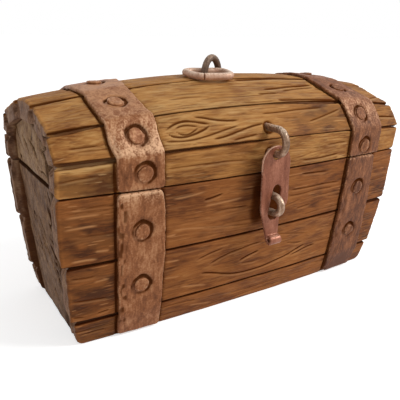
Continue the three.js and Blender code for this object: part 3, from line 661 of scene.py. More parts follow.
# Joints, at places along the chest: how wide the gap between two boards stands open, and how far
# their edges are rounded
JOINT_OPENINGS = {
    "low_joint": ((-100, 1.8), (-80, 1.2), (-50, 0.4), (50, 0.4), (80, 0.6), (100, 1.0)),
    "high_joint": ((-100, 1.4), (-80, 0.8), (-50, 0.4), (0, 0.3), (50, 0.6), (100, 1.2)),
    "shoulder": (
        (-100, 2.2), (-80, 1.7), (-60, 1.0), (-40, 0.6), (-8, 0.3), (4, 0.0), (50, 0.0), (62, 0.4),
        (85, 0.5), (100, 1.2)),
    "haunch": (
        (-100, 2.3), (-90, 1.7), (-80, 0.9), (-66, 0.3), (0, 0.3), (15, 0.8), (32, 2.0), (55, 1.8),
        (80, 0.6), (100, 0.9)),
    "crown": ((-100, 1.8), (-85, 1.1), (-60, 0.3), (0, 0.3), (60, 0.5), (100, 0.8)),
}
JOINT_ROUNDS = {
    "sole": ((0, 0.9),),
    "low_joint": ((-100, 0.9), (-50, 0.85), (50, 0.8), (100, 0.9)),
    "high_joint": ((-100, 0.9), (-50, 0.85), (50, 0.85), (100, 0.9)),
    "shoulder": (
        (-100, 0.9), (-60, 0.8), (-40, 1.1), (-10, 1.1), (2, 0.3), (50, 0.35), (65, 0.9), (100, 1.0)),
    "haunch": ((-100, 0.9), (-80, 0.6), (0, 0.6), (25, 0.9), (60, 1.0), (100, 0.9)),
    "crown": ((-100, 0.8), (-80, 0.6), (0, 0.6), (80, 0.7), (100, 0.9)),
}
RIM_ROUNDS = ((-100, 0.7), (-80, 0.6), (80, 0.6), (100, 0.7))
NO_ROWS = ((0, 0.0),)
# Share of a joint's rounding on the board below it, and on the one above
JOINT_SPLITS = {"shoulder": (1.5, 0.7), "haunch": (1.4, 0.8), "crown": (1.2, 0.8)}
JOINT_WANDER = ((0.22, 9, 1, ""), (0.12, 2.6, 1, "", 0, 0.5))
# Depth of a rounding of full size, and what the floor of the gap adds to it
JOINT_DEPTH = 1.15
JOINT_FULL_SIZE = 0.8
JOINT_FLOOR = 0.1
OPEN_DEPTH = 0.8
OPEN_FLOOR = 0.4
DEEP_SEAM = 0.03
# The dark band along a joint, the dark of the gap's walls, and how fast the rounding darkens
BAND_WIDTH = 0.9
BAND_SHARE = 0.3
OPEN_DARK = 0.3
ROUNDING_DARKENS = 0.7


def board_edge(line, x, name, above, thick):
    """An edge of a board: its start, the size of its rounding, and the columns of its rounded
    corner and of its wall in the joint, both as distance from the line and depth in the wood."""
    wander = 1 + waves(x, 0, name + line, JOINT_WANDER)
    size = read_rows(JOINT_ROUNDS.get(line, RIM_ROUNDS), x) * wander
    size = size * JOINT_SPLITS.get(line, (1, 1))[above]
    opening = read_rows(JOINT_OPENINGS.get(line, NO_ROWS), x) / 2 * wander
    deep = JOINT_DEPTH * np.sqrt(np.minimum(size / JOINT_FULL_SIZE, 1.0))
    floor = (deep + JOINT_FLOOR + OPEN_DEPTH * opening)[:, None]
    start = (0.0 if line in OPEN_LINES else WOOD_GAP / 2) + opening[:, None]
    size, deep = size[:, None], deep[:, None]
    turn = quarter(CORNER_STEPS)[None]
    corner = start + size * (1 - np.cos(turn)), deep * (1 - np.sin(turn))
    seam = DEEP_SEAM + 0 * start
    wall = (np.concatenate([start, seam, seam], axis=1),
            np.concatenate([floor, floor + OPEN_FLOOR, thick], axis=1))
    return start, size, corner, wall


# Staple feet stand in small dishes, painted dark as shade round the feet: how far the dish reaches, and how
# wide its slope is
FOOT_REACH = 2.3
FOOT_SLOPE = 0.75


def foot_dishes(points):
    """How near each point lies to the edge of a staple's foot, from 0 to 1."""
    x, y, z = np.moveaxis(points, -1, 0)
    near = np.zeros(x.shape)
    for up in (HASP_HOLE_UP, HASP_HOLE_UP + 2 * HASP_BOW, LOCK_LEG_UP, LOCK_LEG_UP + LOCK_LEG_GAP):
        near = np.maximum(near, bump(np.hypot(x, z - up) - FOOT_REACH, FOOT_SLOPE) * (y < 0))
    for end in (-1, 1):
        foot_x, foot_y = ARCH_AT + turned(end * ARCH_WIDTH / 2, 0.0, ARCH_TURN)
        away = np.hypot(x - foot_x, y - foot_y)
        near = np.maximum(near, bump(away - FOOT_REACH, FOOT_SLOPE) * (z > SEAM_UP))
    return near


# Painted shadow on the front behind the hasp: middle x and up, half sizes, and how ragged its edge is
HASP_SHADOW_AT = (1.6, 59.5)
HASP_SHADOW_SIZE = (10.6, 14.5)
HASP_SHADOW_SHARE = 0.85
HASP_SHADOW_RAGGED = ((0.1, 3, 4, "grime"),)


def hasp_grime(points):
    """The painted shadow round the hasp, from 0 to 1, in the shape of a rounded rectangle."""
    x, y, z = np.moveaxis(points, -1, 0)
    beside, above = (x - HASP_SHADOW_AT[0]) / HASP_SHADOW_SIZE[0], (z - HASP_SHADOW_AT[1]) / HASP_SHADOW_SIZE[1]
    away = (beside ** 4 + above ** 4) ** 0.25 * (1 + waves(x, z, "", HASP_SHADOW_RAGGED))
    return bump(away ** 3, 1.0) * (y < 0)


# Relief of a board's face: how deep it lies below the solid's, and its waves
RELIEF_BASE = 0.22
BOARD_WAVES = (
    (0.16, 24, 7, " wave"), (0.09, 9, 3, " hew"),
    (0.05, 14, 0.8, " grain"), (0.04, 5, 0.5, ""),
)
# Radii of the corners of a board's ends: left, right, and at the sole
PLAN_CORNERS = (2.1, 2.2)
SOLE_CORNER = 3.4
PLAN_ROUNDNESS = 0.98
# Chips in the ends: the least, then height, size and seed row of each layer
END_INSET = 0.06
END_CHIPS = ((0.3, 3.5, 0.0), (0.08, 0.9, 0.5))
CHIP_ROWS = (0.0, 20.0)
# How worn and bright the outer edges of the board ends are, at the left and at the right, and the
# place and width of the worn bands of an end and of a long edge
# The bright of these edges is wear, and a painted highlight along them as well
END_WEAR_AND_HIGHLIGHT = {"body_wood": (0.2, 0.15), "lid_wood": (0.7, 0.3)}
END_WEAR_AND_HIGHLIGHT_BAND = (0.7, 0.8)
EDGE_WEAR_AND_HIGHLIGHT_BAND = (0.1, 0.12)
# Past the end board's face, this is how far the inside wood takes to turn to end grain
END_GRAIN_FADE = 2.0


def board(face, body, slot, material):
    """One board as a row of rings, carved on its outer face, with end grain on its ends."""
    name = face.name
    full = float(np.max(face.width(np.zeros(1))))
    count = int(2 * HALF_LENGTH / STATION_STEP)
    near = np.array(END_ROUND_SHARES) * END_ROUNDING / (2 * HALF_LENGTH)
    ways = np.concatenate([near[:-1], np.linspace(near[-1], 1 - near[-1], count), 1 - near[-2::-1]])
    left, right = face.ends(np.array([0.5]))
    x_mid = left + (right - left) * ways
    width = face.width(x_mid)[:, None]
    thick = np.linalg.norm(face.outer(x_mid, 0.5) - face.inner(x_mid, 0.5), axis=-1)[:, None]

    # Ring in board coordinates: across the face, and depth into the wood
    low_start, low_size, low_corner, low_wall = board_edge(face.low, x_mid, name, 1, thick)
    high_start, high_size, high_corner, high_wall = board_edge(face.high, x_mid, name, 0, thick)
    steps = max(int(full / ACROSS_STEP), LEAST_STEPS)
    first = low_start + low_size
    across_face = first + (width - high_start - high_size - first) * np.linspace(0, 1, steps)[None]
    back = np.linspace(1, 0, INNER_STEPS)[None, 1:-1] * (width - 2 * DEEP_SEAM) + DEEP_SEAM
    across = np.concatenate([
        low_corner[0], across_face, width - high_corner[0][:, ::-1], width - high_wall[0],
        back, low_wall[0][:, ::-1]], axis=1)
    sunk = np.concatenate([
        low_corner[1], 0 * across_face, high_corner[1][:, ::-1], high_wall[1],
        thick + 0 * back, low_wall[1][:, ::-1]], axis=1)
    outer_points = 2 * CORNER_STEPS + steps
    columns = np.arange(across.shape[1])
    on_face = columns < outer_points
    at_high = (columns >= outer_points) & (columns < outer_points + 2) & (face.high not in OPEN_LINES)
    in_joint = at_high | (columns >= len(columns) - 2) & (face.low not in OPEN_LINES)
    share = np.clip(across / width, 0, 1)

    # Ends: low and high corners rounded in plan, and chipped a little
    ends = []
    for end, inward, corner, row in zip(face.ends(share), (1, -1), PLAN_CORNERS, CHIP_ROWS):
        low_round = SOLE_CORNER if face.low == "sole" else corner
        plan = cut_back(across, low_round, PLAN_ROUNDNESS)
        plan = plan + cut_back(width - across, corner, PLAN_ROUNDNESS)
        chips = sum(height * np.abs(ripple(across / size, row + shift, name + " chips"))
                    for height, size, shift in END_CHIPS)
        ends.append(end + inward * (plan + END_INSET + chips))
    start, stop = ends
    x = start + (stop - start) * ways[:, None]

    # Relief of the outer face
    outer, inner = face.outer(x, share), face.inner(x, share)
    grooves = traced_grooves(face) if face.side < 0 else []
    grooves = grooves + filler_grooves(face, full, grooves)
    depth, dark, light = carve(x, across, grooves, WIDE_GROOVES.get(name, 1.0))
    # The strap beds and the dishes round the staple feet are grooves, and the wood in them is painted dark as
    # shade
    bed = np.maximum(strap_bed(face, x, share), foot_dishes(outer))
    depth = np.maximum(depth, BED_DEPTH * bed)
    # The hasp's shadow is painted dark on the front here
    dark = np.max([dark, bed, HASP_SHADOW_SHARE * hasp_grime(outer)], axis=0)
    relief = depth + RELIEF_BASE + waves(x, across, name, BOARD_WAVES)
    from_end = np.minimum(x - start, stop - x)
    dip = cut_back(from_end, END_ROUNDING, END_ROUNDNESS)
    fallen = np.clip(sunk / JOINT_DEPTH, 0, 1)
    into = sunk + (relief + dip) * (1 - fallen) * on_face
    points = outer + (inner - outer) * (into / thick)[..., None]

    # Vertex values for the material
    band = np.maximum(
        bump(across - low_start, BAND_WIDTH) * (face.low not in OPEN_LINES),
        bump(width - high_start - across, BAND_WIDTH) * (face.high not in OPEN_LINES))
    near_joint = np.maximum(fallen ** ROUNDING_DARKENS, BAND_SHARE * band)
    past_end = smooth((np.abs(x) - END_FACE) / END_GRAIN_FADE + 0.5) * ~on_face
    left_share = BLOTCH_SHARE + BLOTCH_LEFT * smooth((BLOTCH_LEFT_OF - x) / BLOTCH_FADE)
    tone = read_rows(TONES.get(name, PLAIN_TONE), x) + waves(x, across, name, BLOTCHES) * left_share
    for stain_x, stain_up, half_length, half_height, change in STAINS.get(name, ()):
        away = np.hypot((x - stain_x) / half_length, (outer[..., 2] - stain_up) / half_height)
        tone = tone + change * bump(away, 1.0)
    # Lighter ends and edges: worn wood and a painted highlight
    end_wear_and_highlight = np.where(x < 0, *END_WEAR_AND_HIGHLIGHT[slot]) * bump(from_end - END_WEAR_AND_HIGHLIGHT_BAND[0], END_WEAR_AND_HIGHLIGHT_BAND[1])
    edge_wear_and_highlight = bump(sunk - EDGE_WEAR_AND_HIGHLIGHT_BAND[0], EDGE_WEAR_AND_HIGHLIGHT_BAND[1])
    values = [
        np.maximum(np.maximum(dark, near_joint) * on_face, OPEN_DARK * in_joint),
        light * on_face,
        tone,
        (edge_wear_and_highlight + end_wear_and_highlight) * on_face,
        past_end * ~in_joint,
        ~on_face * (1 - past_end),
    ]

    caps = [end_cap(face, x[row], across[row], into[row], thick[row], width[row], outward)
            for row, outward in ((0, -1), (-1, 1))]
    (first_rings, first_values), (last_rings, last_values) = caps
    rings = np.concatenate([first_rings[::-1], points, last_rings])
    values = [np.concatenate([head[::-1], middle, tail])
              for head, middle, tail in zip(first_values, values, last_values)]
    return place_rings("wood_" + name, rings, dict(zip(WOOD_MASKS, values)), body, slot, material, name)


# End grain: shares of the way to the middle, the roughness, and how far it stands out and how dark
# it gets; both build up over the first rings
CAP_SHARES = (0.08, 0.22, 0.42, 0.62, 0.82)
CAP_WAVES = ((0.6, 2.4, 7, " end", 0, 3), (0.25, 0.9, 4, " end"))
CAP_BULGE = 0.1
CAP_BULGE_RISE = 8
CAP_ROUGH = 0.12
CAP_ROUGH_RISE = 5
CAP_DARK = 0.35


def end_cap(face, x, across, into, thick, width, outward):
    """Rings that shrink from a board's end edge to its middle, roughened as end grain."""
    half = thick / 2
    goal_across = np.clip(across, half, width - half)
    rings, hollow = [], []
    for share in CAP_SHARES:
        a = across + (goal_across - across) * share
        d = into + (half - into) * share
        rough = waves(a, d, face.name, CAP_WAVES)
        push = CAP_BULGE * min(share * CAP_BULGE_RISE, 1) + CAP_ROUGH * rough * min(share * CAP_ROUGH_RISE, 1)
        outer, inner = (find(x + outward * push, a / width) for find in (face.outer, face.inner))
        rings.append(outer + (inner - outer) * (d / thick)[..., None])
        hollow.append(np.clip(-rough, 0, 1) * CAP_DARK)
    hollow = np.array(hollow)
    zero = np.zeros_like(hollow)
    return np.array(rings), [hollow, zero, zero, zero, zero + 1, zero]


def build_boards(body_wood, lid_wood):
    for wall, side in (("front", -1), ("back", 1)):
        for level, ends in BOARDS.items():
            kind, height = level.split("_")
            if kind == "plank":
                board(Face(f"{wall}_{level}", *ends, side), "chest_body", "body_wood", body_wood)
            else:
                board(Face(f"lid_stave_{wall}_{height}", *ends, side), "lid", "lid_wood", lid_wood)
    crown = CrownFace("lid_stave_crown", "crown", "crown", (0.0, 0.0), (0.05, 0.05), -1)
    board(crown, "lid", "lid_wood", lid_wood)


# End boards: their bodies, the inner lines up their sides, the lean of the grain, how long the
# gouges are, and how light the wood is
END_BOARDS = {
    "end_board": dict(body="chest_body", lines=WALL_LINES, grain=45, gouge=36.0, tone=-0.35),
    "lid_end": dict(body="lid", lines=LID_LINES[:-1], grain=60, gouge=24.0, tone=0.35),
}
# How far the foot of a body end board leans in
BODY_END_LEANS = {"left": 5.0, "right": 9.0}
END_THICKNESS = 9.0
END_FACE = HALF_LENGTH - 2.4
END_SHY = 0.1
END_BULGE = 1.3
END_STEP = 0.5
END_EDGE_ROUND = 1.2
END_EDGE_ROUNDNESS = 0.95
# The painted shade in the crevice round an end board, and the painted shade along its front edge
END_CREVICE_SHADE = 1.5
CREVICE_SHADE_START = 1.25
FRONT_SHADE = 0.6
FRONT_SHADE_REACH = 18.0
FRONT_SHADE_FADE = 9.0
FRONT_SHADE_RAGGED = ((2.5, 4, 6, " grime"),)
GOUGE_COUNT = 4
GOUGE_SPACING = 14.0
GOUGE_WIDTH = 3.2
GOUGE_DEPTH = 1.2
GOUGE_WANDER = 0.7
GOUGE_WANDER_SIZE = 7
# Carved lines: their spacing across and along the grain, what the fine ones take of it, the depth
# of both, and from which height of the noise on they are cut
LINE_ACROSS = 2.4
LINE_ALONG = 17.0
FINE_SHARES = (0.4, 0.5)
LINE_DEPTH = 0.45
COARSE_EDGE = 0.88
FINE_EDGE = 0.86
FINE_STRENGTH = 0.35
LINE_WARP = ((1.6, 15, 19, " warp"),)
LINE_STRENGTH = ((0.9, 9, 12, " strong"),)
END_WAVES = ((0.2, 4.2, 16, " wave"),)
WAVE_LIGHT = 2


def gouges(y, z, grain, length, name):
    """Depth share of the long V-shaped cuts that run with the grain, side by side."""
    depth = np.zeros_like(y)
    for number in range(GOUGE_COUNT):
        from_middle = y - (number - (GOUGE_COUNT - 1) / 2) * GOUGE_SPACING
        across, along = turned(from_middle, z, grain)
        across = across + GOUGE_WANDER * ripple(along / GOUGE_WANDER_SIZE, number, name + " gouge")
        taper = np.clip(1 - np.abs(along) / (length / 2), 0, 1)
        depth = np.maximum(depth, np.clip(taper - np.abs(across) / (GOUGE_WIDTH / 2), 0, 1))
    return depth


def carved_lines(y, z, name, grain):
    """Ridged noise, stretched with the grain, cut as fine carved lines; and the face's waves."""
    q, p = turned(y, z, grain)
    q = q + waves(y, z, name, LINE_WARP)
    coarse = 1 - np.abs(ripple(q / LINE_ACROSS, p / LINE_ALONG, name + " coarse"))
    fine_across, fine_along = LINE_ACROSS * FINE_SHARES[0], LINE_ALONG * FINE_SHARES[1]
    fine = 1 - np.abs(ripple(q / fine_across, p / fine_along, name + " fine"))
    strong = smooth(0.5 + waves(y, z, name, LINE_STRENGTH))
    dark = smooth((coarse - COARSE_EDGE) / (1 - COARSE_EDGE)) * strong
    dark = dark + smooth((fine - FINE_EDGE) / (1 - FINE_EDGE)) * FINE_STRENGTH
    return np.clip(dark, 0, 1), waves(q, p, name, END_WAVES)


def end_board(node, turn, lean_in, material, spec):
    """An end board: a carved grid for its face, and a flat back of its outline."""
    outs, ups = zip(*(INNER[line] for line in spec["lines"]))
    low, high = ups[0], ups[-1]
    rows = np.linspace(low + WOOD_GAP, high, int((high - low) / END_STEP))[:, None]
    half_width = np.interp(rows, ups, outs)
    way = np.linspace(-1, 1, int(2 * (half_width.max() - WOOD_GAP) / END_STEP))
    y, z = (half_width - WOOD_GAP) * way, rows + 0 * way
    grain, centre = math.radians(spec["grain"]), (low + high) / 2
    dark, wave = carved_lines(y, z, node, grain)
    gouge = gouges(y, z - centre, grain, spec["gouge"], node)
    from_middle = np.clip(np.hypot(way + 0 * z, (z - centre) / (high - low) * 2), 0, 1)
    border = np.minimum((1 - np.abs(way)) * half_width, np.minimum(z - low, high - z))
    # Painted shade along the end board's front edge, fading inwards with a ragged border
    from_front = y + half_width - waves(y, z, node, FRONT_SHADE_RAGGED)
    grime = FRONT_SHADE * smooth((FRONT_SHADE_REACH - from_front) / FRONT_SHADE_FADE)
    outward = END_FACE - lean_in * (1 - z / RIM_UP) + END_BULGE * (1 - from_middle ** 2) - END_SHY
    outward = outward - np.maximum(LINE_DEPTH * dark, GOUGE_DEPTH * gouge) + wave
    outward = outward - cut_back(border, END_EDGE_ROUND, END_EDGE_ROUNDNESS)
    points = np.stack([turn * outward, y, z], axis=-1).reshape(-1, 3)

    index = np.arange(y.size).reshape(y.shape)
    quads = np.stack([index[:-1, :-1], index[:-1, 1:], index[1:, 1:], index[1:, :-1]], -1).reshape(-1, 4)
    rim = np.concatenate([index[0, :-1], index[:-1, -1], index[-1, :0:-1], index[:0:-1, 0]])
    back = points[rim].copy()
    back[:, 0] = turn * (END_FACE - END_THICKNESS - lean_in * (1 - back[:, 2] / RIM_UP))
    ring = len(points) + np.arange(len(rim))
    sides = np.stack([np.roll(rim, -1), rim, ring, np.roll(ring, -1)], axis=-1)
    # The face's dark: carved lines, gouges, and painted shade in the crevice round its border and along its
    # front edge
    hollow = np.max([dark, gouge, smooth(CREVICE_SHADE_START - border / END_CREVICE_SHADE), grime], axis=0)
    flat = 0 * y
    values = zip((hollow, np.clip(wave * WAVE_LIGHT, 0, 1), flat + spec["tone"], flat, flat + 1, flat),
                 (0, 0, 0, 0, 0, 1))
    masks = {mask: np.append(face, np.full(len(rim), behind))
             for mask, (face, behind) in zip(WOOD_MASKS, values)}
    piece = object_from("wood_" + node, np.concatenate([points, back]), [quads, sides, ring[None]], masks)
    return place(piece, spec["body"], "end_wood", material, node)


def build_ends(end_wood):
    for side, turn in (("left", -1), ("right", 1)):
        for kind, spec in END_BOARDS.items():
            lean_in = BODY_END_LEANS[side] if kind == "end_board" else 0.0
            end_board(f"{kind}_{side}", turn, lean_in, end_wood, spec)


# The bottom board: rings along it, points round it, and how far it stays inside the solid's sides
BOTTOM_RINGS = 60
BOTTOM_AROUND = 48
# The power that squares the corners of the bottom board's section
BOTTOM_SQUARING = 0.16
BOTTOM_SHY = 0.6
BOTTOM_WAVES = ((0.15, 20, 2, "floor"),)


def squared(values):
    return np.sign(values) * np.abs(values) ** BOTTOM_SQUARING


def build_floor_board(material):
    """The bottom board, a plain slab with rounded edges."""
    low, high = (np.array(corner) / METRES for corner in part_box("floor_board"))
    turn = circle(BOTTOM_AROUND)
    x = np.linspace(low[0], high[0], BOTTOM_RINGS)[:, None]
    y = (high[1] - BOTTOM_SHY) * squared(np.cos(turn))
    z = (high[2] / 2) * (1 + squared(np.sin(turn)))
    rings = points_of(x, y, z)
    rings[..., 2] -= np.clip(waves(x, y, "", BOTTOM_WAVES), 0, 1) * (z > high[2] / 2)
    masks = dict.fromkeys(WOOD_MASKS, np.zeros(rings.shape[:2]))
    masks["inside"] = np.ones(rings.shape[:2])
    place_rings("wood_floor_board", rings, masks, "chest_body", "body_wood", material, "floor_board")


# Straps: how deep they lie in the wood and how far they stand over it, and their outline
STRAP_UNDER = 0.12
STRAP_OVER = 1.55
STRAP_STEP = 0.6
STRAP_COLUMNS = 30
STRAP_CORNER_STEPS = 4
STRAP_UNDER_STEPS = 6
STRAP_EDGE = 0.6
STRAP_CORNER = 2.2
STRAP_CORNER_ROUNDNESS = 0.96
STRAP_END_THIN = 1.6 * STRAP_EDGE
STRAP_END_ROUNDNESS = 0.93
STRAP_SIDE_LEVEL = 0.45
STRAP_BEND = 0.8
STRAP_WANDER = {
    "left": ((0.35, 7, 1, " left"), (0.15, 2, 1, "")),
    "right": ((0.35, 7, 1, " right"), (0.15, 2, 1, "", 0, 5)),
}
STRAP_DENTS = ((0.12, 6, 6, " dents"), (0.03, 2.1, 2.1, " hammer"))
# Fine pits, deeper where the strap is worn
STRAP_PITS = ((1.0, 0.7, 0.7, " pits"),)
PIT_DEPTH = 0.01
PIT_DEPTH_WORN = 0.05
STRAP_TOP_SHY = 0.05
STRAP_LEAST = 0.02
FINE_WAYS = 2000
# How strong the dark strokes along a strap's left edge are, where they run and how deep they are
STROKES = {("front", "left"): 0.62, ("front", "right"): 0.5}
PLAIN_STROKES = 0.35
STROKE_SIZE = (1.1, 3.2)
STROKE_FROM = 0.05
STROKE_FADE = 0.5
STROKE_AT = 2.0
STROKE_REACH = 3.0
STROKE_DEPTH = 0.2
# How light the copper is along a strap: way, and tone from -1 to 1
STRAP_TONES = {
    ("lid", "left"): ((0, 0.0), (1.0, 0.0), (1.9, 0.5), (2.5, 0.9), (4, 0.9), (6, 0.0)),
    ("lid", "right"): ((0, -0.7), (1, -0.7), (1.6, -0.2), (2.4, -0.4), (4, -0.4), (6, -0.3)),
    ("front", "left"): ((0, -0.1), (3, 0.0)),
    ("front", "right"): ((0, -1.7), (0.6, -1.5), (1.5, -0.8), (3, -0.6)),
}
PLAIN_STRAP_TONE = ((0, -0.3),)
# Rubbed bright over the bends and tops, with a painted highlight there too: way, and share
STRAP_WEAR_AND_HIGHLIGHT = {
    ("lid", "left"): (
        (0, 0), (0.93, 0.1), (1.08, 1.0), (1.5, 0.75), (2.0, 0.35), (2.4, 0.05), (7, 0), (7.2, 0.6)),
    ("lid", "right"): (
        (0, 0), (0.9, 0.05), (1.1, 0.2), (1.5, 0.5), (1.9, 0.5), (2.1, 0.2), (2.6, 0), (7, 0), (7.2, 0.6)),
    ("front", "left"): ((0, 0), (2.8, 0.05), (3, 0.8)),
    ("front", "right"): ((0, 0), (2.9, 0), (3, 0.1)),
}
# Bright rubbed edges and ends of a strap, which also carry a painted highlight
EDGE_RUB_AND_HIGHLIGHT = 0.35
END_RUB_AND_HIGHLIGHT = 0.5
END_RUB_AND_HIGHLIGHT_REACH = 2.0
# Rivets sit in dished rings: radius, width and depth of the ring, the disc inside it, how uneven
# its outline is, and how much deeper it is below and right of the rivet
DISH_RADIUS = 4.5
DISH_WIDTH = 1.0
DISH_DEPTH = 0.75
DISC_DEPTH = 0.35
DISC_FADE = 3
DISC_WEAR = 0.3
DISH_CIRCLE = 3
DISH_OUTLINE = ((0.06, 1.7, 1.7, "", 9, 0),)
DISH_DEEPER = ((0.35, 1.2, 1.2, "ring", 5, 0),)
# This lean makes the ring deeper on one side, and the dark mask paints that side darker as painted shade
DISH_DEPTH_AND_SHADE_LEAN = 0.45
DISH_DEPTH_AND_SHADE_LEAN_WAY = (0.6, 0.8)
# Hinge and the strap ends that lead to it
HINGE_OUT = 49.1063
KNUCKLE_RADIUS = 2.65
KNUCKLE_CLEARANCE = 0.6
BACK_FOOT = SEAM_UP + KNUCKLE_RADIUS + KNUCKLE_CLEARANCE
BACK_HEAD = SEAM_UP - KNUCKLE_RADIUS - KNUCKLE_CLEARANCE
LID_STRAP_START = 0.01


def on_chain(lines, way, x):
    """Points (y, z) on a chain of lines at each way, for a grid of x; a line is a name and a side."""
    corners = []
    for name, side in lines:
        out, up = line_at(name, x)
        corners.append(np.stack([side * out, up], axis=-1))
    points = np.zeros(x.shape + (2,))
    for row, w in enumerate(way):
        k = min(int(w), len(lines) - 2)
        points[row] = corners[k][row] + (corners[k + 1][row] - corners[k][row]) * (w - k)
    return points


def ways_of(lines, first, last, x):
    """Evenly spaced ways along a chain between two ways, and the length between them."""
    fine = np.linspace(first, last, FINE_WAYS)
    spot = on_chain(lines, fine, np.full((len(fine), 1), float(x)))[:, 0]
    length = np.concatenate([[0], np.cumsum(np.hypot(*np.diff(spot, axis=0).T))])
    count = int(length[-1] / STRAP_STEP)
    return np.interp(np.linspace(0, length[-1], count), length, fine), length[-1]


def blurred(points, size):
    """Rounds the bends of a grid of points along its first axis, and keeps its ends."""
    reach = int(3 * size)
    kernel = np.exp(-0.5 * (np.arange(-reach, reach + 1) / size) ** 2)
    kernel /= kernel.sum()
    head = 2 * points[:1] - points[reach:0:-1]
    tail = 2 * points[-1:] - points[-2:-reach - 2:-1]
    padded = np.concatenate([head, points, tail])
    return sum(k * padded[i:i + len(points)] for i, k in enumerate(kernel))


def normals_of(path):
    """Directions square to a path of (y, z) points, to the left of its way."""
    along = unit(np.gradient(path, axis=0))
    return np.stack([-along[..., 1], along[..., 0]], axis=-1)


def strap_tone(wall, side, way):
    return read_rows(STRAP_TONES.get((wall, side), PLAIN_STRAP_TONE), way)


def strap_section(inner):
    """A strap's section in columns: share of its width, inset, fall of its edge, and level."""
    turn = quarter(STRAP_CORNER_STEPS)
    corner_in, corner_down = 1 - np.cos(turn), 1 - np.sin(turn)
    under = np.linspace(1, 0, STRAP_UNDER_STEPS)[1:-1]
    share = np.concatenate([0 * turn, np.linspace(0, 1, STRAP_COLUMNS), 0 * turn + 1, [1, 1], under, [0, 0]])
    rest = np.zeros(len(under) + 4)
    inset = np.concatenate([corner_in, np.ones(STRAP_COLUMNS), corner_in[::-1], rest])
    edge = np.concatenate([corner_down, np.zeros(STRAP_COLUMNS), corner_down[::-1], rest])
    level = np.concatenate([np.ones(STRAP_COLUMNS + 2 * len(turn)), [STRAP_SIDE_LEVEL], 0 * under, [0, 0],
                            [STRAP_SIDE_LEVEL]])
    between = (share > 0) & (share < 1)
    inset = np.where(between, 0, np.where(share < 0.5, inset, -inset))
    share = np.where(between, inner + (1 - 2 * inner) * share, share)
    return share, STRAP_EDGE * inset, STRAP_EDGE * edge, level


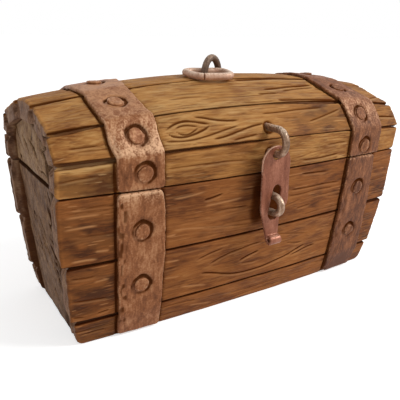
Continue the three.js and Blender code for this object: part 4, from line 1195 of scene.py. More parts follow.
def strap(wall, side, lines, first, last, outward, seats, body, material):
    """One strap; returns a function that gives a rivet's seat on it."""
    node = f"{wall}_strap_{side}"
    name = node.replace("_", " ")
    spec = STRAPS[side]
    way, length = ways_of(lines, first, last, spec["x"])
    centre, width = strap_at(wall, side, way)
    arc = np.linspace(0, length, len(way))
    near_end = np.minimum(arc, length - arc)
    shy = cut_back(near_end, STRAP_CORNER, STRAP_CORNER_ROUNDNESS)
    left = (centre - width / 2 + waves(arc, 0, name, STRAP_WANDER["left"]) + shy)[:, None]
    right = (centre + width / 2 + waves(arc, 0, name, STRAP_WANDER["right"]) - shy)[:, None]
    thin = cut_back(near_end, STRAP_END_THIN, STRAP_END_ROUNDNESS) / STRAP_END_THIN
    tall = (STRAP_OVER - (STRAP_OVER - STRAP_UNDER) * thin)[:, None]
    share, inset, edge, level = strap_section(STRAP_EDGE / spec["width"])
    x = left + (right - left) * share + inset
    surface = blurred(on_chain(lines, way, x), STRAP_BEND / STRAP_STEP)
    normal = outward * normals_of(surface)

    # Dents, pits and strokes, and the dishes round the rivets
    top = level == 1
    down = arc[:, None]
    bend_wear_and_highlight = read_rows(STRAP_WEAR_AND_HIGHLIGHT.get((wall, side), NO_ROWS), way)[:, None]
    stroke = ripple(x / STROKE_SIZE[0], down / STROKE_SIZE[1], name + " strokes")
    stroke = smooth((stroke - STROKE_FROM) / STROKE_FADE) * STROKES.get((wall, side), PLAIN_STROKES)
    stroke = stroke * bump(x - left - STROKE_AT, STROKE_REACH)
    dents = waves(x, down, name, STRAP_DENTS) - STROKE_DEPTH * stroke
    dents = dents + (PIT_DEPTH + PIT_DEPTH_WORN * bend_wear_and_highlight) * waves(x, down, name, STRAP_PITS)
    dish, disc = np.zeros_like(x), np.zeros_like(x)
    for seat_way, seat_x in seats:
        dx, ds = x - seat_x, down - np.interp(seat_way, way, arc)
        away = np.hypot(dx, ds)
        round_x, round_s = (DISH_CIRCLE * d / np.maximum(away, 1) for d in (dx, ds))
        radius = away * (1 + waves(round_x, round_s, name + str(seat_way), DISH_OUTLINE))
        lean = (dx * DISH_DEPTH_AND_SHADE_LEAN_WAY[0] + ds * outward * DISH_DEPTH_AND_SHADE_LEAN_WAY[1]) / np.maximum(radius, 1)
        deeper_and_shaded = (1 + DISH_DEPTH_AND_SHADE_LEAN * lean) * (1 + waves(round_x, round_s, name, DISH_DEEPER))
        dish = np.maximum(dish, bump(radius - DISH_RADIUS, DISH_WIDTH) * deeper_and_shaded)
        disc = np.maximum(disc, smooth(DISC_FADE * (1 - radius / DISH_RADIUS)))
    sink = DISH_DEPTH * dish + DISC_DEPTH * disc + STRAP_TOP_SHY
    height = STRAP_UNDER + (tall - STRAP_UNDER - edge) * level + (dents - sink) * top
    height = np.where(top, np.maximum(height, STRAP_UNDER + STRAP_LEAST), height)
    spot = surface + normal * height[..., None]
    # The strap is rubbed bright at its bends, edges and ends, and a painted highlight lies there too
    rubbed_and_highlight = EDGE_RUB_AND_HIGHLIGHT * (edge > 0) * top + END_RUB_AND_HIGHLIGHT * smooth(1 - near_end / END_RUB_AND_HIGHLIGHT_REACH)[:, None]
    # The dark of the rivet dishes is patina in the hollow, and painted shade on their deeper side
    masks = {
        "hollow": np.maximum(np.clip(dish, 0, 1) ** 2, stroke) * top,
        "worn": np.clip(bend_wear_and_highlight + rubbed_and_highlight, 0, 1) * np.clip(1 - disc, DISC_WEAR, 1),
        "tone": strap_tone(wall, side, way)[:, None] + 0 * x,
    }
    place_rings("copper_" + node, points_of(x, spot[..., 0], spot[..., 1]), masks,
                body, "copper", material, node)

    def seat(seat_way, seat_x):
        row = int(round(float(np.interp(seat_way, way, np.arange(len(way))))))
        face = x[row, STRAP_CORNER_STEPS:STRAP_CORNER_STEPS + STRAP_COLUMNS]
        column = int(np.argmin(np.abs(face - seat_x))) + STRAP_CORNER_STEPS
        ahead = normal[row, column]
        base = surface[row, column] + ahead * (STRAP_OVER - RIVET_SUNK)
        return np.array([seat_x, *base]), np.array([0.0, *ahead])

    return seat


# Rivets: how deep they sit, and rows from under the rim to the middle with the height, the share of
# the radius, and how dark and how bright the metal is
RIVET_SUNK = 0.5
RIVET_RADIUS = 3.4
RIVET_RISE = 0.95
RIVET_SIDES = 40
RIVET_CELLS = 8
RIVET_LOBES = 0.05
RIVET_OVAL = 0.04
RIVET_ROWS = (
    (-0.8, 1.02, 0.9, 0.0), (0.0, 1.0, 0.5, 0.0), (0.45, 1.0, 0.2, 0.1), (0.8, 0.99, 0.0, 0.3),
    (1.0, 0.955, 0.0, 0.4), (1.1, 0.85, 0.0, 0.3), (1.13, 0.7, 0.0, 0.15), (1.12, 0.5, 0.0, 0.1),
    (1.1, 0.25, 0.0, 0.1), (1.1, 0.08, 0.0, 0.1),
)
RIVET_TOP = 1.13
RIVET_DENTED_FROM = 0.9
RIVET_DENTS = ((0.12, 1.6), (0.05, 0.7))
UPPER_RIVET_UP = 54.5
LOWER_RIVET_UP = 27.6
STRAP_FOOT_UP = 1.2
FIRST_RIVET_WAYS = {"left": 0.5, "right": 0.38}
LID_RIVET_WAYS = (1.5, 2.5, 4.0, 5.5, 6.5)
# How far a rivet sits beside its strap's middle, at ways along the strap
RIVET_DRIFTS = {
    ("lid", "right"): ((0.4, -1.2), (1.5, -2.6), (2.5, 0.0), (8, 0.0)),
    ("lid", "left"): ((0.5, 1.6), (1.5, 0.6), (2.5, 0.0), (8, 0.0)),
}


def rivet(node, at, normal, body, material, tone):
    """A low, uneven dome on a strap."""
    turn = circle(RIVET_SIDES)
    seed = draws(node).uniform(0, 50)
    lobes = ripple(turn * RIVET_CELLS / (2 * math.pi) + seed, 0, node, cells=RIVET_CELLS)
    outline = 1 + RIVET_LOBES * lobes + RIVET_OVAL * np.cos(turn * 2 + seed)
    height, share, hollow, worn = columns_of(RIVET_ROWS)
    a, b = (RIVET_RADIUS * share * outline * way(turn) for way in (np.cos, np.sin))
    dent = sum(deep * ripple(a / size + seed, b / size + seed, node) for deep, size in RIVET_DENTS)
    rise = height * RIVET_RISE / RIVET_TOP + dent * (height > RIVET_DENTED_FROM)
    third = unit(np.cross(normal, [1.0, 0.0, 0.0]))
    side = np.cross(third, normal)
    points = at + a[..., None] * side + b[..., None] * third + rise[..., None] * normal
    masks = {"hollow": hollow + 0 * a, "worn": worn + 0 * a, "tone": tone + 0 * a}
    place_rings("copper_" + node, points, masks, body, "copper", material, node)


def wall_way(up):
    """The way along a wall's chain at a height."""
    ups = [LINES[name]["up"] for name in WALL_LINES]
    return float(np.interp(up, ups, np.arange(len(ups))))


def rivet_x(wall, side, way):
    drift = read_rows(RIVET_DRIFTS.get((wall, side), NO_ROWS), way)
    return float(strap_at(wall, side, way)[0] + drift)


def build_straps(copper, bronze):
    front, back = ([(name, side) for name in WALL_LINES] for side in (-1, 1))
    over = [(name, -1) for name in LID_LINES] + [(name, 1) for name in LID_LINES[-2::-1]]
    foot = wall_way(STRAP_FOOT_UP)
    wall_ways = [wall_way(up) for up in (UPPER_RIVET_UP, LOWER_RIVET_UP)]
    for side, spec in STRAPS.items():
        back_share = (BACK_FOOT - LID_RIM_UP) / (line_at("shoulder", spec["x"])[1] - LID_RIM_UP)
        last = LID_CHAIN_END - float(back_share)
        lid_ways = [FIRST_RIVET_WAYS[side], *LID_RIVET_WAYS, (LID_CHAIN_END - 1 + last) / 2]
        for wall, body, lines, first, end, outward, ways in (
                ("lid", "lid", over, LID_STRAP_START, last, 1, lid_ways),
                ("front", "chest_body", front, foot, wall_way(RIM_UP), 1, wall_ways),
                ("back", "chest_body", back, foot, wall_way(BACK_HEAD), -1, wall_ways)):
            seats = [(way, rivet_x(wall, side, way)) for way in ways]
            seat = strap(wall, side, lines, first, end, outward, seats, body, copper)
            words = range(1, len(ways) + 1) if wall == "lid" else ("upper", "lower")
            for word, (way, x) in zip(words, seats):
                node = f"{wall}_rivet_{side}_{word}"
                rivet(node, *seat(way, x), body, copper, strap_tone(wall, side, way))
        build_hinge(side, spec, copper, bronze)


# Hinges: knuckles rolled round a pin
PIN_RADIUS = 1.2
PIN_HEAD_RADIUS = 1.9
PIN_HEAD_LENGTH = 0.8
PIN_HEAD_ROUND = 0.2
PIN_HEAD_SHARES = (0.8, 0.25)
PIN_PLAY = 0.15
PIN_SIDES = 24
KNUCKLE_GAP = 0.5
MIDDLE_KNUCKLE_SHARE = 0.36
KNUCKLE_TURN = 2 * math.pi * 0.93
KNUCKLE_TURN_STEPS = 40
KNUCKLE_LEAD = 1.5
KNUCKLE_RINGS = 120
KNUCKLE_BEND = 2.0
KNUCKLE_COLUMNS = 12
KNUCKLE_THIN_EDGE = 0.6
KNUCKLE_WORN = 0.4


def knuckle(name, low_x, high_x, start_up, strap_out, body, copper, node):
    """A tongue of the strap that runs to the hinge line and rolls round the pin."""
    inner = PIN_RADIUS + PIN_PLAY
    middle, half = (inner + KNUCKLE_RADIUS) / 2, (KNUCKLE_RADIUS - inner) / 2
    above = 1 if start_up > SEAM_UP else -1
    turn = math.pi + np.linspace(0, KNUCKLE_TURN, KNUCKLE_TURN_STEPS)
    roll = np.stack([HINGE_OUT + middle * np.cos(turn), SEAM_UP - above * middle * np.sin(turn)], axis=-1)
    lead = [[strap_out, start_up + above * KNUCKLE_LEAD], [strap_out, start_up]]
    path = np.concatenate([lead, roll])
    spots, ways = np.linspace(0, 1, KNUCKLE_RINGS), np.linspace(0, 1, len(path))
    path = blurred(np.stack([np.interp(spots, ways, line) for line in path.T], axis=-1), KNUCKLE_BEND)
    level = np.full(KNUCKLE_COLUMNS, half)
    level[[0, -1]] *= KNUCKLE_THIN_EDGE
    level = np.concatenate([level, -level])
    xs = np.linspace(low_x, high_x, KNUCKLE_COLUMNS)
    spot = path[:, None] + normals_of(path)[:, None] * level[None, :, None]
    rings = points_of(np.concatenate([xs, xs[::-1]]), spot[..., 0], spot[..., 1])
    zero = np.zeros(rings.shape[:2])
    place_rings(name, rings, {"hollow": zero, "worn": zero + KNUCKLE_WORN}, body, "copper", copper, node)


def build_hinge(side, spec, copper, bronze):
    x, half = spec["x"], spec["width"] / 2
    middle = half * MIDDLE_KNUCKLE_SHARE
    out = line_at("rim", x)[0] + STRAP_OVER / 2
    knuckle(f"lid_knuckle_{side}", x - middle, x + middle, BACK_FOOT, out, "lid", copper,
            f"lid_strap_{side}")
    outer_spans = (x - half, x - middle - KNUCKLE_GAP), (x + middle + KNUCKLE_GAP, x + half)
    for number, (low, high) in enumerate(outer_spans, 1):
        knuckle(f"back_knuckle_{side}_{number}", low, high, BACK_HEAD, out, "chest_body", copper,
                f"back_strap_{side}")
    reach = half + PIN_PLAY
    end = reach + PIN_HEAD_LENGTH
    one_end = [(PIN_RADIUS / PIN_HEAD_RADIUS, reach), (1.0, reach), (1.0, end - PIN_HEAD_ROUND)]
    one_end += [(share, end) for share in PIN_HEAD_SHARES]
    profile = [(share, -along) for share, along in one_end[::-1]] + one_end
    share, along = columns_of(profile)
    turn = circle(PIN_SIDES)
    rings = points_of(x + along, HINGE_OUT + PIN_HEAD_RADIUS * share * np.cos(turn),
                      SEAM_UP + PIN_HEAD_RADIUS * share * np.sin(turn))
    zero = np.zeros(rings.shape[:2])
    place_rings(f"pin_{side}", rings, {"hollow": zero, "worn": zero}, "chest_body", "bronze_wire", bronze,
                f"hinge_pin_{side}")


# Wire pieces
WIRE_RADIUS = 1.74
WIRE_SIDES = 24
WIRE_STEP = 0.5
WIRE_BEND = 1.6
WIRE_BLUNT = 0.35
WIRE_BLUNT_REACH = 0.6
WIRE_WAVES = ((0.022, 1 / 1.3, 3, ""), (0.01, 1 / 2.6, 1.1, " fine"))
# The waves fade out where a ring of vertices closes
WIRE_SEAM = 0.7
# Any direction that no wire starts along
WIRE_SIDE = (0.3, 0.5, 0.81)
DEPTH_IN_WOOD = 5.5
BOW = np.linspace(0, math.pi, 40)
HASP_PLANE = 53.1
HASP_HOLE_UP = 82.5
HASP_BOW = 5.8
LOCK_LEG_UP = 53.7
LOCK_LEG_GAP = 8.5
LOCK_REACH = 5.6
ARCH_AT = np.array([-5.5, -4.7])
ARCH_WIDTH = 13.1
ARCH_HEIGHT = 8.8
ARCH_TURN = math.radians(22.6)
ARCH_GROUND = 114.87
RING_AT = np.array([-5.5, -4.7, 116.97])
RING_LENGTH = 22.0
RING_DEPTH = 15.5
RING_CORNER = 5.0
RING_CORNER_STEPS = 12
RING_CUT = 0.7
RING_BLUNT = 0.15
# How far the near left corner of the ring is bent inwards
RING_LEAN = 3.0
RING_TURN = math.radians(-16)
RING_TILT = math.asin(1.5 / RING_DEPTH)
RING_SHIFT = -4.4


def resampled(path):
    length = np.concatenate([[0], np.cumsum(np.linalg.norm(np.diff(path, axis=0), axis=1))])
    spots = np.linspace(0, length[-1], int(length[-1] / WIRE_STEP))
    return np.stack([np.interp(spots, length, line) for line in path.T], axis=-1)


def wire(node, path, body, material, blunt=WIRE_BLUNT):
    """A round wire along a path, slightly uneven, with its ends filed flat and a painted highlight on top."""
    name = node.replace("_", " ")
    path = blurred(resampled(path), WIRE_BEND)
    along = unit(np.gradient(path, axis=0))
    side = unit(np.cross(along[0], WIRE_SIDE))
    turn = circle(WIRE_SIDES)
    seam = smooth(np.minimum(turn, 2 * math.pi - turn) / WIRE_SEAM)
    spots = np.arange(len(path)) * WIRE_STEP
    rings = []
    for spot, point, ahead in zip(spots, path, along):
        side = unit(side - ahead * (side @ ahead))
        other = np.cross(ahead, side)
        from_end = min(spot, spots[-1] - spot)
        radius = WIRE_RADIUS - blunt * max(0, 1 - from_end / WIRE_BLUNT_REACH) ** 2
        radii = radius * (1 + seam * waves(turn, spot, name, WIRE_WAVES))
        rings.append(point + radii[:, None] * (np.cos(turn)[:, None] * side + np.sin(turn)[:, None] * other))
    rings = np.array(rings)
    # The upper side of the wire is painted bright as a painted highlight
    upward = (rings - path[:, None])[..., 2] / WIRE_RADIUS
    masks = {"hollow": np.zeros(rings.shape[:2]), "worn": smooth(upward)}
    place_rings("wire_" + node, rings, masks, body, "bronze_wire", material, node)


def staple_path(leg_up, leg_gap, reach):
    bow = points_of(0, -HASP_PLANE - reach * np.sin(BOW), leg_up + leg_gap / 2 * (1 - np.cos(BOW)))
    wood = -float(line_at("rim", 0.0)[0]) + DEPTH_IN_WOOD
    return np.concatenate([[[0, wood, leg_up]], bow, [[0, wood, leg_up + leg_gap]]])


def ring_path():
    """A rounded rectangle with its far bar in the arch, and a cut in its near bar."""
    half, r = RING_LENGTH / 2, RING_CORNER
    points = [(-half + r, -RING_DEPTH)]
    for x, y, start in ((-half + r, -RING_DEPTH + r, 1), (-half + r, -r, 0.5), (half - r, -r, 0),
                        (half - r, -RING_DEPTH + r, -0.5)):
        turn = math.pi * (start + 0.5 - np.linspace(0, 0.5, RING_CORNER_STEPS))
        points += [(x + r * math.cos(t), y + r * math.sin(t)) for t in turn]
    points.append((-half + r + RING_CUT, -RING_DEPTH))
    x, y = np.array(points).T
    x = x + RING_LEAN * smooth(-y / RING_DEPTH) * np.clip(-x / half, 0, 1) + RING_SHIFT
    y, z = turned(y, 0.0, RING_TILT)
    return RING_AT + points_of(*turned(x, y, RING_TURN), z)


def build_wires(bronze, arch_bronze, ring_bronze):
    wire("hasp_staple", staple_path(HASP_HOLE_UP, 2 * HASP_BOW, HASP_BOW), "lid", bronze)
    wire("lock_staple", staple_path(LOCK_LEG_UP, LOCK_LEG_GAP, LOCK_REACH), "chest_body", bronze)
    x, y = turned(-ARCH_WIDTH / 2 * np.cos(BOW), 0.0, ARCH_TURN)
    bow = points_of(ARCH_AT[0] + x, ARCH_AT[1] + y, ARCH_GROUND + ARCH_HEIGHT * np.sin(BOW))
    feet = [end - [0, 0, DEPTH_IN_WOOD] for end in (bow[:1], bow[-1:])]
    wire("ring_staple", np.concatenate([feet[0], bow, feet[1]]), "lid", arch_bronze)
    wire("ring", ring_path(), "ring", ring_bronze, RING_BLUNT)


# Hasp: the plate with its edges worn round and its faces hammered
HASP_VOXEL = 0.3
HASP_SMOOTHING = 4
HASP_RELAX = 0.5
HASP_DENTS = ((0.07, 5, 5, "hasp dents", 20, 0), (0.015, 1.6, 1.6, "hasp pits", 20, 0))
HASP_SHY = 0.05
# Changes down the plate: how much, from how far below its hole on, and over what length
HASP_LEAN = (0.8, 12, 30)
HASP_LEAN_POWER = 1.5
HASP_TAIL = (0.14, 26, 12)
HASP_DROP = (1.3, 30, 10)
HASP_TONE = (0.35, 24, 10)
# The rim: where the face turns into the edge, and how bright its painted highlight is, more at the upper left
HASP_EDGE = (0.93, 0.5)
HASP_RIM_HIGHLIGHT_LEAST = 0.5
HASP_RIM_HIGHLIGHT = 2.2
HASP_RIM_HIGHLIGHT_SIZE = (8, 10)
HASP_HOLLOW = 4
HASP_HOLLOW_SHARE = 0.5


def build_hasp(copper):
    rough = into_scene("hasp_rough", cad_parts["hasp"].data.copy())
    remesh = rough.modifiers.new("fine", "REMESH")
    remesh.mode = "VOXEL"
    remesh.voxel_size = HASP_VOXEL * METRES
    relax = rough.modifiers.new("relax", "SMOOTH")
    relax.factor = HASP_RELAX
    relax.iterations = HASP_SMOOTHING
    fine = bpy.data.meshes.new_from_object(rough.evaluated_get(bpy.context.evaluated_depsgraph_get()))
    bpy.data.objects.remove(rough)
    fine.materials.clear()
    points, normals = np.zeros((2, len(fine.vertices) * 3), np.float32)
    fine.vertices.foreach_get("co", points)
    fine.vertices.foreach_get("normal", normals)
    points, normals = points.reshape(-1, 3) / METRES, normals.reshape(-1, 3)
    x, z = points[:, 0], points[:, 2]
    lean, tail, drop, tone = (amount * smooth((HASP_HOLE_UP - start - z) / length) for amount, start, length
                              in (HASP_LEAN, HASP_TAIL, HASP_DROP, HASP_TONE))
    dents = waves(x, z, "", HASP_DENTS)
    points = points + normals * (dents - HASP_SHY)[:, None]
    points[:, 0] += HASP_LEAN[0] * (lean / HASP_LEAN[0]) ** HASP_LEAN_POWER
    points[:, 0] *= 1 - tail
    points[:, 2] -= drop
    fine.vertices.foreach_set("co", (points * METRES).astype(np.float32).ravel())
    fine.polygons.foreach_set("use_smooth", np.ones(len(fine.polygons), bool))
    edge = smooth((HASP_EDGE[0] - np.abs(normals[:, 1])) / HASP_EDGE[1])
    # The rim is painted bright along the plate's edge, more at the upper left: a painted highlight
    rim = HASP_RIM_HIGHLIGHT_LEAST + HASP_RIM_HIGHLIGHT * smooth((z - HASP_HOLE_UP) / HASP_RIM_HIGHLIGHT_SIZE[1] - x / HASP_RIM_HIGHLIGHT_SIZE[0])
    hollow = np.clip(-dents * HASP_HOLLOW, 0, 1) * HASP_HOLLOW_SHARE
    write_masks(fine, {"hollow": hollow, "worn": edge * rim, "tone": tone})
    fine.update()
    place(into_scene("copper_hasp", fine), "hasp", "copper", copper, "hasp")


# Materials
# Sockets of a colour mix node
MIX_SHARE, MIX_A, MIX_B, MIX_OUT = 0, 6, 7, 2


class Shader:
    """The node tree of a material or a world; a value may be a number or another node's socket."""

    def __init__(self, holder):
        self.holder = holder
        holder.use_nodes = True
        self.tree = holder.node_tree
        self.tree.nodes.clear()

    def node(self, kind, **settings):
        made = self.tree.nodes.new(kind)
        for key, value in settings.items():
            setattr(made, key, value)
        return made

    def plug(self, socket, value):
        if isinstance(value, bpy.types.NodeSocket):
            self.tree.links.new(value, socket)
        elif hasattr(value, "__len__") and len(value) == 3:
            socket.default_value = (*srgb(*value), 1.0)
        else:
            socket.default_value = value

    def mask(self, name):
        return self.node("ShaderNodeAttribute", attribute_name=name).outputs["Fac"]

    def noise(self, size, detail, distortion=0.0, offset=(0, 0, 0)):
        """Noise whose bumps are size millimetres long in x, y and z."""
        mapping = self.node("ShaderNodeMapping")
        self.plug(mapping.inputs["Vector"], self.node("ShaderNodeTexCoord").outputs["Object"])
        mapping.inputs["Scale"].default_value = [1 / (s * METRES) for s in size]
        mapping.inputs["Location"].default_value = offset
        noise = self.node("ShaderNodeTexNoise")
        self.plug(noise.inputs["Vector"], mapping.outputs["Vector"])
        noise.inputs["Scale"].default_value = 1.0
        noise.inputs["Detail"].default_value = detail
        noise.inputs["Distortion"].default_value = distortion
        return noise.outputs["Fac"]

    def math(self, operation, *values):
        made = self.node("ShaderNodeMath", operation=operation)
        for socket, value in zip(made.inputs, values):
            self.plug(socket, value)
        return made.outputs[0]

    def total(self, base, noises, weights):
        """A base value plus weight times value for each named noise, which counts from its middle."""
        for word, weight in weights.items():
            base = self.math("MULTIPLY_ADD", noises[word], weight, self.math("SUBTRACT", base, weight / 2))
        return base

    def steps(self, value, low, high, out_low=0.0, out_high=1.0):
        made = self.node("ShaderNodeMapRange", interpolation_type="SMOOTHSTEP")
        for key, entry in (("Value", value), ("From Min", low), ("From Max", high),
                           ("To Min", out_low), ("To Max", out_high)):
            self.plug(made.inputs[key], entry)
        return made.outputs["Result"]

    def ramp(self, value, stops):
        made = self.node("ShaderNodeValToRGB")
        elements = made.color_ramp.elements
        while len(elements) < len(stops):
            elements.new(0.5)
        for element, (position, colour) in zip(elements, stops):
            element.position = position
            element.color = (*srgb(*colour), 1.0)
        self.plug(made.inputs["Fac"], value)
        return made.outputs["Color"]

    def cover(self, face, colour, share, *shares):
        """Mixes a colour over a face, by the product of the shares."""
        for other in shares:
            share = self.math("MULTIPLY", share, other)
        made = self.node("ShaderNodeMix", data_type="RGBA")
        for socket, value in ((MIX_SHARE, share), (MIX_A, face), (MIX_B, colour)):
            self.plug(made.inputs[socket], value)
        return made.outputs[MIX_OUT]

    def when_seen(self, unseen, seen):
        """One strength for rays that see the backdrop, from the camera, a mirror or through glass,
        and another for the light it gives."""
        path = self.node("ShaderNodeLightPath")
        ray = path.outputs["Is Camera Ray"]
        for kind in ("Is Glossy Ray", "Is Transmission Ray"):
            ray = self.math("MAXIMUM", ray, path.outputs[kind])
        return self.math("MULTIPLY_ADD", ray, seen - unseen, unseen)

    def finish(self, kind, output, inputs):
        """Leads one shader, with its inputs by name, to the output."""
        shader = self.node(kind)
        for key, value in inputs.items():
            self.plug(shader.inputs[key], value)
        self.plug(self.node(output).inputs["Surface"], shader.outputs[0])
        return self.holder

    def surface(self, colour, roughness, height, **inputs):
        """A solid surface; the height makes its bumps."""
        bumps = self.node("ShaderNodeBump")
        bumps.inputs["Distance"].default_value = BUMP_SIZE * METRES
        self.plug(bumps.inputs["Height"], height)
        named = {word.replace("_", " "): value for word, value in inputs.items()}
        return self.finish("ShaderNodeBsdfPrincipled", "ShaderNodeOutputMaterial", {
            "Base Color": colour, "Roughness": roughness, "Normal": bumps.outputs["Normal"], **named})


def srgb(red, green, blue):
    """A colour as a picture states it, in the linear values that shaders take."""
    shares = (value / 255 for value in (red, green, blue))
    return tuple(s / 12.92 if s <= 0.04045 else ((s + 0.055) / 1.055) ** 2.4 for s in shares)


# Noises of the materials: bump size along x, y and z, detail, distortion and offset
WOOD_NOISES = {
    "streak": ((30, 2.1, 2.1), 5, 0.5),
    "thread": ((10, 1.0, 1.0), 3, 0.6, (5, 7, 1)),
    "fine": ((5, 0.5, 0.5), 2),
    "stain": ((17, 7, 7), 4, 0.0, (3, 1, 2)),
    "hair": ((16, 0.9, 0.9), 1, 0.3, (9, 4, 1)),
    "gone": ((12, 5, 5), 2, 0.0, (2, 9, 6)),
    "nick": ((34, 0.75, 0.75), 0, 0.1, (6, 2, 7)),
    "speck": ((1.6, 0.7, 0.7), 3),
    "cloud": ((9, 6, 6), 3, 0.0, (8, 5, 3)),
    "hatch": ((3, 1.1, 4.5), 2, 0.4, (4, 4, 2)),
}
METAL_NOISES = {
    "cloud": ((8, 8, 12), 3, 0.4, (4, 2, 7)),
    "mottle": ((1.9, 2.4, 6.5), 4, 0.8),
    "speck": ((0.8, 0.8, 0.8), 2),
}
# Weights of the noises in a tone, a height or a ragged edge
FACE_WEIGHTS = {"streak": 0.42, "thread": 0.22, "stain": 0.5, "fine": 0.55}
END_WEIGHTS = {"speck": 0.5, "cloud": 0.6, "hatch": 0.9}
WOOD_HEIGHTS = {"thread": 0.3, "fine": 0.5}
WOOD_RAGGED = {"fine": 0.4}
METAL_WEIGHTS = {"cloud": 0.7, "mottle": 0.9, "speck": 0.45}
METAL_GRIT = {"speck": 1.0, "mottle": 0.9}
METAL_HEIGHTS = {"mottle": 0.6, "speck": 0.4}
METAL_RAGGED = {"speck": 0.3}
# Steps from one value to another: where each begins and ends, and the two outcomes if not 0 and 1
THREAD_EDGE = (0.41, 0.59)
HAIR_EDGE = (0.385, 0.35)
HAIR_GONE = (0.35, 0.5, 0.0, 0.7)
NICK_EDGE = (0.70, 0.76)
NICK_GONE = (0.45, 0.6, 0.0, 0.5)
WOOD_WEAR_AND_HIGHLIGHT = (0.40, 0.6, 0.15, 0.7)
WOOD_DEEP = (0.1, 0.8)
METAL_DEEP = (0.1, 0.75)
METAL_SHINE = (-0.02, 0.42)
WOOD_ROUGHNESS = (0.3, 0.7, 0.58, 0.7)
VALUE_RANGE = (0.3, 0.7)
HOLLOW_RANGE = (0.1, 0.7)
WOOD_GLOSS = (0.14, 0.0)
METAL_GLOSS = (0.3, 0.0)
# Shares of a mask in the tone, and how fully a colour covers
WOOD_TONE = 0.3
METAL_TONE = 0.25
WORN_GRIT = 0.3
SCRATCH_COVER = 0.9
DEEP_COVER = 0.9
INSIDE_COVER = 0.72
SHINE_COVER = 0.85
ROUGHER = 0.08
SMOOTHER = 0.05
BUMP_SIZE = 0.16


def wood(name, tones, groove, scratch, rim, inside, end_tones):
    """Oiled wood: streaks, stains and hairlines along x; tones run from dark to light."""
    s = Shader(bpy.data.materials.new(name))
    n = {word: s.noise(*settings) for word, settings in WOOD_NOISES.items()}
    n["thread"] = s.steps(n["thread"], *THREAD_EDGE)
    value = s.math("MULTIPLY_ADD", s.mask("tone"), WOOD_TONE, s.total(0.5, n, FACE_WEIGHTS))
    face = s.ramp(value, tones)
    face = s.cover(face, groove, s.steps(n["hair"], *HAIR_EDGE), s.steps(n["gone"], *HAIR_GONE))
    face = s.cover(face, scratch, s.steps(n["nick"], *NICK_EDGE), s.steps(n["gone"], *NICK_GONE))
    face = s.cover(face, scratch, s.mask("light"), SCRATCH_COVER)
    # The rim colour over worn edges is a painted highlight as well as wear
    face = s.cover(face, rim, s.mask("worn"), s.steps(n["stain"], *WOOD_WEAR_AND_HIGHLIGHT))
    end_value = s.math("MULTIPLY_ADD", s.mask("tone"), WOOD_TONE, s.total(0.5, n, END_WEIGHTS))
    face = s.cover(face, s.ramp(end_value, end_tones), s.mask("endgrain"))
    face = s.cover(face, inside, s.mask("inside"), INSIDE_COVER)
    # Grooves, joints and hollows take the groove colour, and so does the painted shade of the hasp's shadow,
    # the strap beds, the staple dishes and the end boards' crevices and front edges
    deep = s.steps(s.total(s.mask("hollow"), n, WOOD_RAGGED), *WOOD_DEEP)
    face = s.cover(face, groove, deep, DEEP_COVER)
    roughness = s.steps(n["stain"], *WOOD_ROUGHNESS)
    gloss = s.steps(s.mask("hollow"), *HOLLOW_RANGE, *WOOD_GLOSS)
    return s.surface(face, roughness, s.total(0.0, n, WOOD_HEIGHTS), Specular_IOR_Level=gloss)


def metal(name, tones, hollow, bright, metallic, rough, contrast=1.0):
    """Patinated metal: soft clouds, upright streaks, and bright specks where it is rubbed and where a
    highlight is painted.
    """
    s = Shader(bpy.data.materials.new(name))
    n = {word: s.noise(*settings) for word, settings in METAL_NOISES.items()}
    weights = {word: weight * contrast for word, weight in METAL_WEIGHTS.items()}
    value = s.math("MULTIPLY_ADD", s.mask("tone"), METAL_TONE, s.total(0.5, n, weights))
    face = s.ramp(value, tones)
    worn = s.mask("worn")
    grit = s.total(0.0, n, METAL_GRIT)
    # Bright specks where the metal is rubbed, and painted highlights on strap bends and ends, the hasp's rim
    # and wire tops
    shine = s.steps(s.math("MULTIPLY_ADD", worn, WORN_GRIT, grit), *METAL_SHINE)
    face = s.cover(face, bright, shine, worn, SHINE_COVER)
    deep = s.steps(s.total(s.mask("hollow"), n, METAL_RAGGED), *METAL_DEEP)
    face = s.cover(face, hollow, deep, DEEP_COVER)
    roughness = s.steps(value, *VALUE_RANGE, rough + ROUGHER, rough - SMOOTHER)
    gloss = s.steps(s.mask("hollow"), *HOLLOW_RANGE, *METAL_GLOSS)
    metallic = s.steps(s.mask("hollow"), *HOLLOW_RANGE, metallic, 0.0)
    return s.surface(face, roughness, s.total(0.0, n, METAL_HEIGHTS),
                     Metallic=metallic, Specular_IOR_Level=gloss)


# Stage, lamp, sky and camera
KEY_AT = (0.95, -0.80, 0.95)
KEY_SIZE = 0.45
KEY_POWER = 14.0
SKY = 0.46
FLOOR_SIZE = 60.0
FLOOR_GREY = 0.9
FLOOR_GLOW = 0.6
FLOOR_ROUGHNESS = 0.9
FLOOR_GLOSS = 0.1
WHITE = (1.0, 1.0, 1.0, 1.0)
NEAR_CLIP = 0.01


def build_stage():
    half = FLOOR_SIZE / 2
    mesh = bpy.data.meshes.new("floor")
    mesh.from_pydata([(-half, -half, 0), (half, -half, 0), (half, half, 0), (-half, half, 0)],
                     [], [(0, 1, 2, 3)])
    floor = into_scene("floor", mesh)
    s = Shader(bpy.data.materials.new("floor_paper"))
    paper = s.finish("ShaderNodeBsdfPrincipled", "ShaderNodeOutputMaterial", {
        "Base Color": (FLOOR_GREY, FLOOR_GREY, FLOOR_GREY, 1.0),
        "Roughness": FLOOR_ROUGHNESS,
        "Specular IOR Level": FLOOR_GLOSS,
        "Emission Color": WHITE,
        "Emission Strength": s.when_seen(0.0, FLOOR_GLOW),
    })
    floor.data.materials.append(paper)


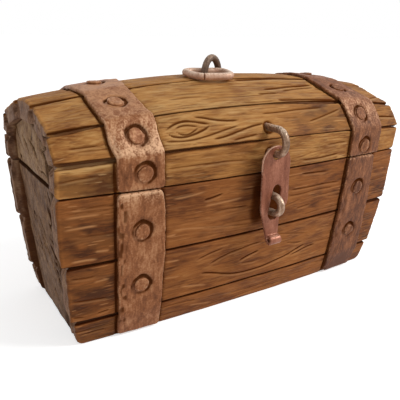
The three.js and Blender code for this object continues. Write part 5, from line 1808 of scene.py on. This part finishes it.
def build_light():
    s = Shader(bpy.data.worlds.new("studio"))
    bpy.context.scene.world = s.finish("ShaderNodeBackground", "ShaderNodeOutputWorld", {
        "Color": WHITE, "Strength": s.when_seen(SKY, 1.0)})
    lamp = bpy.data.lights.new("key", "AREA")
    lamp.energy = KEY_POWER
    lamp.size = KEY_SIZE
    key = into_scene("key", lamp)
    away = np.array(KEY_AT)
    middle = (np.array(cad_box[0]) + np.array(cad_box[1])) / 2
    back = unit(away)
    side = unit(np.cross([0, 0, 1], back))
    key.matrix_world = matrix_of(side, np.cross(back, side), back, middle + away)


def matrix_of(right, up, back, at):
    rows = [[*axes, spot] for axes, spot in zip(np.stack([right, up, back], axis=1), at)]
    return Matrix([[float(v) for v in row] for row in rows] + [[0, 0, 0, 1]])


def build_camera():
    right, up, ahead = camera_axes()
    lens = bpy.data.cameras.new("camera")
    lens.sensor_width = SENSOR
    lens.lens = FOCAL_PIXELS / IMAGE_SIZE * SENSOR
    lens.clip_start = NEAR_CLIP
    camera = into_scene("camera", lens)
    camera.matrix_world = matrix_of(right, up, -ahead, CAMERA_AT * METRES)
    bpy.context.scene.camera = camera


# The colours are given as a picture states them, from 0 to 255
END_TONES = ((0.2, (78, 50, 35)), (0.5, (134, 97, 73)), (0.8, (174, 138, 106)))
body_wood = wood(
    "body_wood", ((0.02, (54, 23, 7)), (0.35, (108, 58, 24)), (0.6, (132, 80, 39)), (0.95, (168, 116, 66))),
    groove=(72, 32, 12), scratch=(198, 142, 92), rim=(182, 114, 58), inside=(88, 53, 32),
    end_tones=END_TONES)
lid_wood = wood(
    "lid_wood", ((0.02, (70, 31, 9)), (0.35, (132, 80, 36)), (0.6, (160, 112, 60)), (0.95, (198, 156, 100))),
    groove=(90, 44, 16), scratch=(210, 168, 114), rim=(206, 144, 78), inside=(96, 60, 37),
    end_tones=END_TONES)
end_wood = wood(
    "end_wood", ((0.1, (80, 60, 46)), (0.9, (150, 118, 88))),
    groove=(52, 28, 16), scratch=(160, 126, 92), rim=(150, 110, 76), inside=(88, 53, 32),
    end_tones=((0.2, (86, 56, 38)), (0.5, (134, 99, 70)), (0.8, (174, 138, 100))))
copper = metal(
    "copper", ((0.15, (90, 48, 22)), (0.5, (142, 86, 48)), (0.85, (188, 134, 92))),
    hollow=(74, 36, 14), bright=(226, 180, 140), metallic=0.15, rough=0.55)
hasp_copper = metal(
    "hasp_copper", ((0.2, (100, 50, 32)), (0.5, (136, 80, 56)), (0.8, (176, 116, 90))),
    hollow=(84, 42, 28), bright=(240, 196, 168), metallic=0.3, rough=0.42, contrast=0.7)
bronze = metal(
    "bronze_wire", ((0.2, (88, 64, 46)), (0.5, (144, 112, 88)), (0.8, (196, 164, 140))),
    hollow=(60, 40, 28), bright=(232, 206, 180), metallic=0.45, rough=0.36)
ring_bronze = metal(
    "ring_bronze", ((0.2, (148, 104, 80)), (0.5, (200, 158, 132)), (0.8, (232, 198, 172))),
    hollow=(60, 40, 28), bright=(236, 208, 184), metallic=0.2, rough=0.45, contrast=0.5)
arch_bronze = metal(
    "arch_bronze", ((0.2, (68, 52, 42)), (0.5, (98, 77, 62)), (0.8, (130, 106, 88))),
    hollow=(60, 40, 28), bright=(176, 146, 122), metallic=0.3, rough=0.45, contrast=0.5)

build_boards(body_wood, lid_wood)
build_ends(end_wood)
build_floor_board(body_wood)
build_straps(copper, bronze)
build_hasp(hasp_copper)
build_wires(bronze, arch_bronze, ring_bronze)
build_stage()
build_light()
build_camera()
bpy.context.scene.view_settings.view_transform = "Standard"
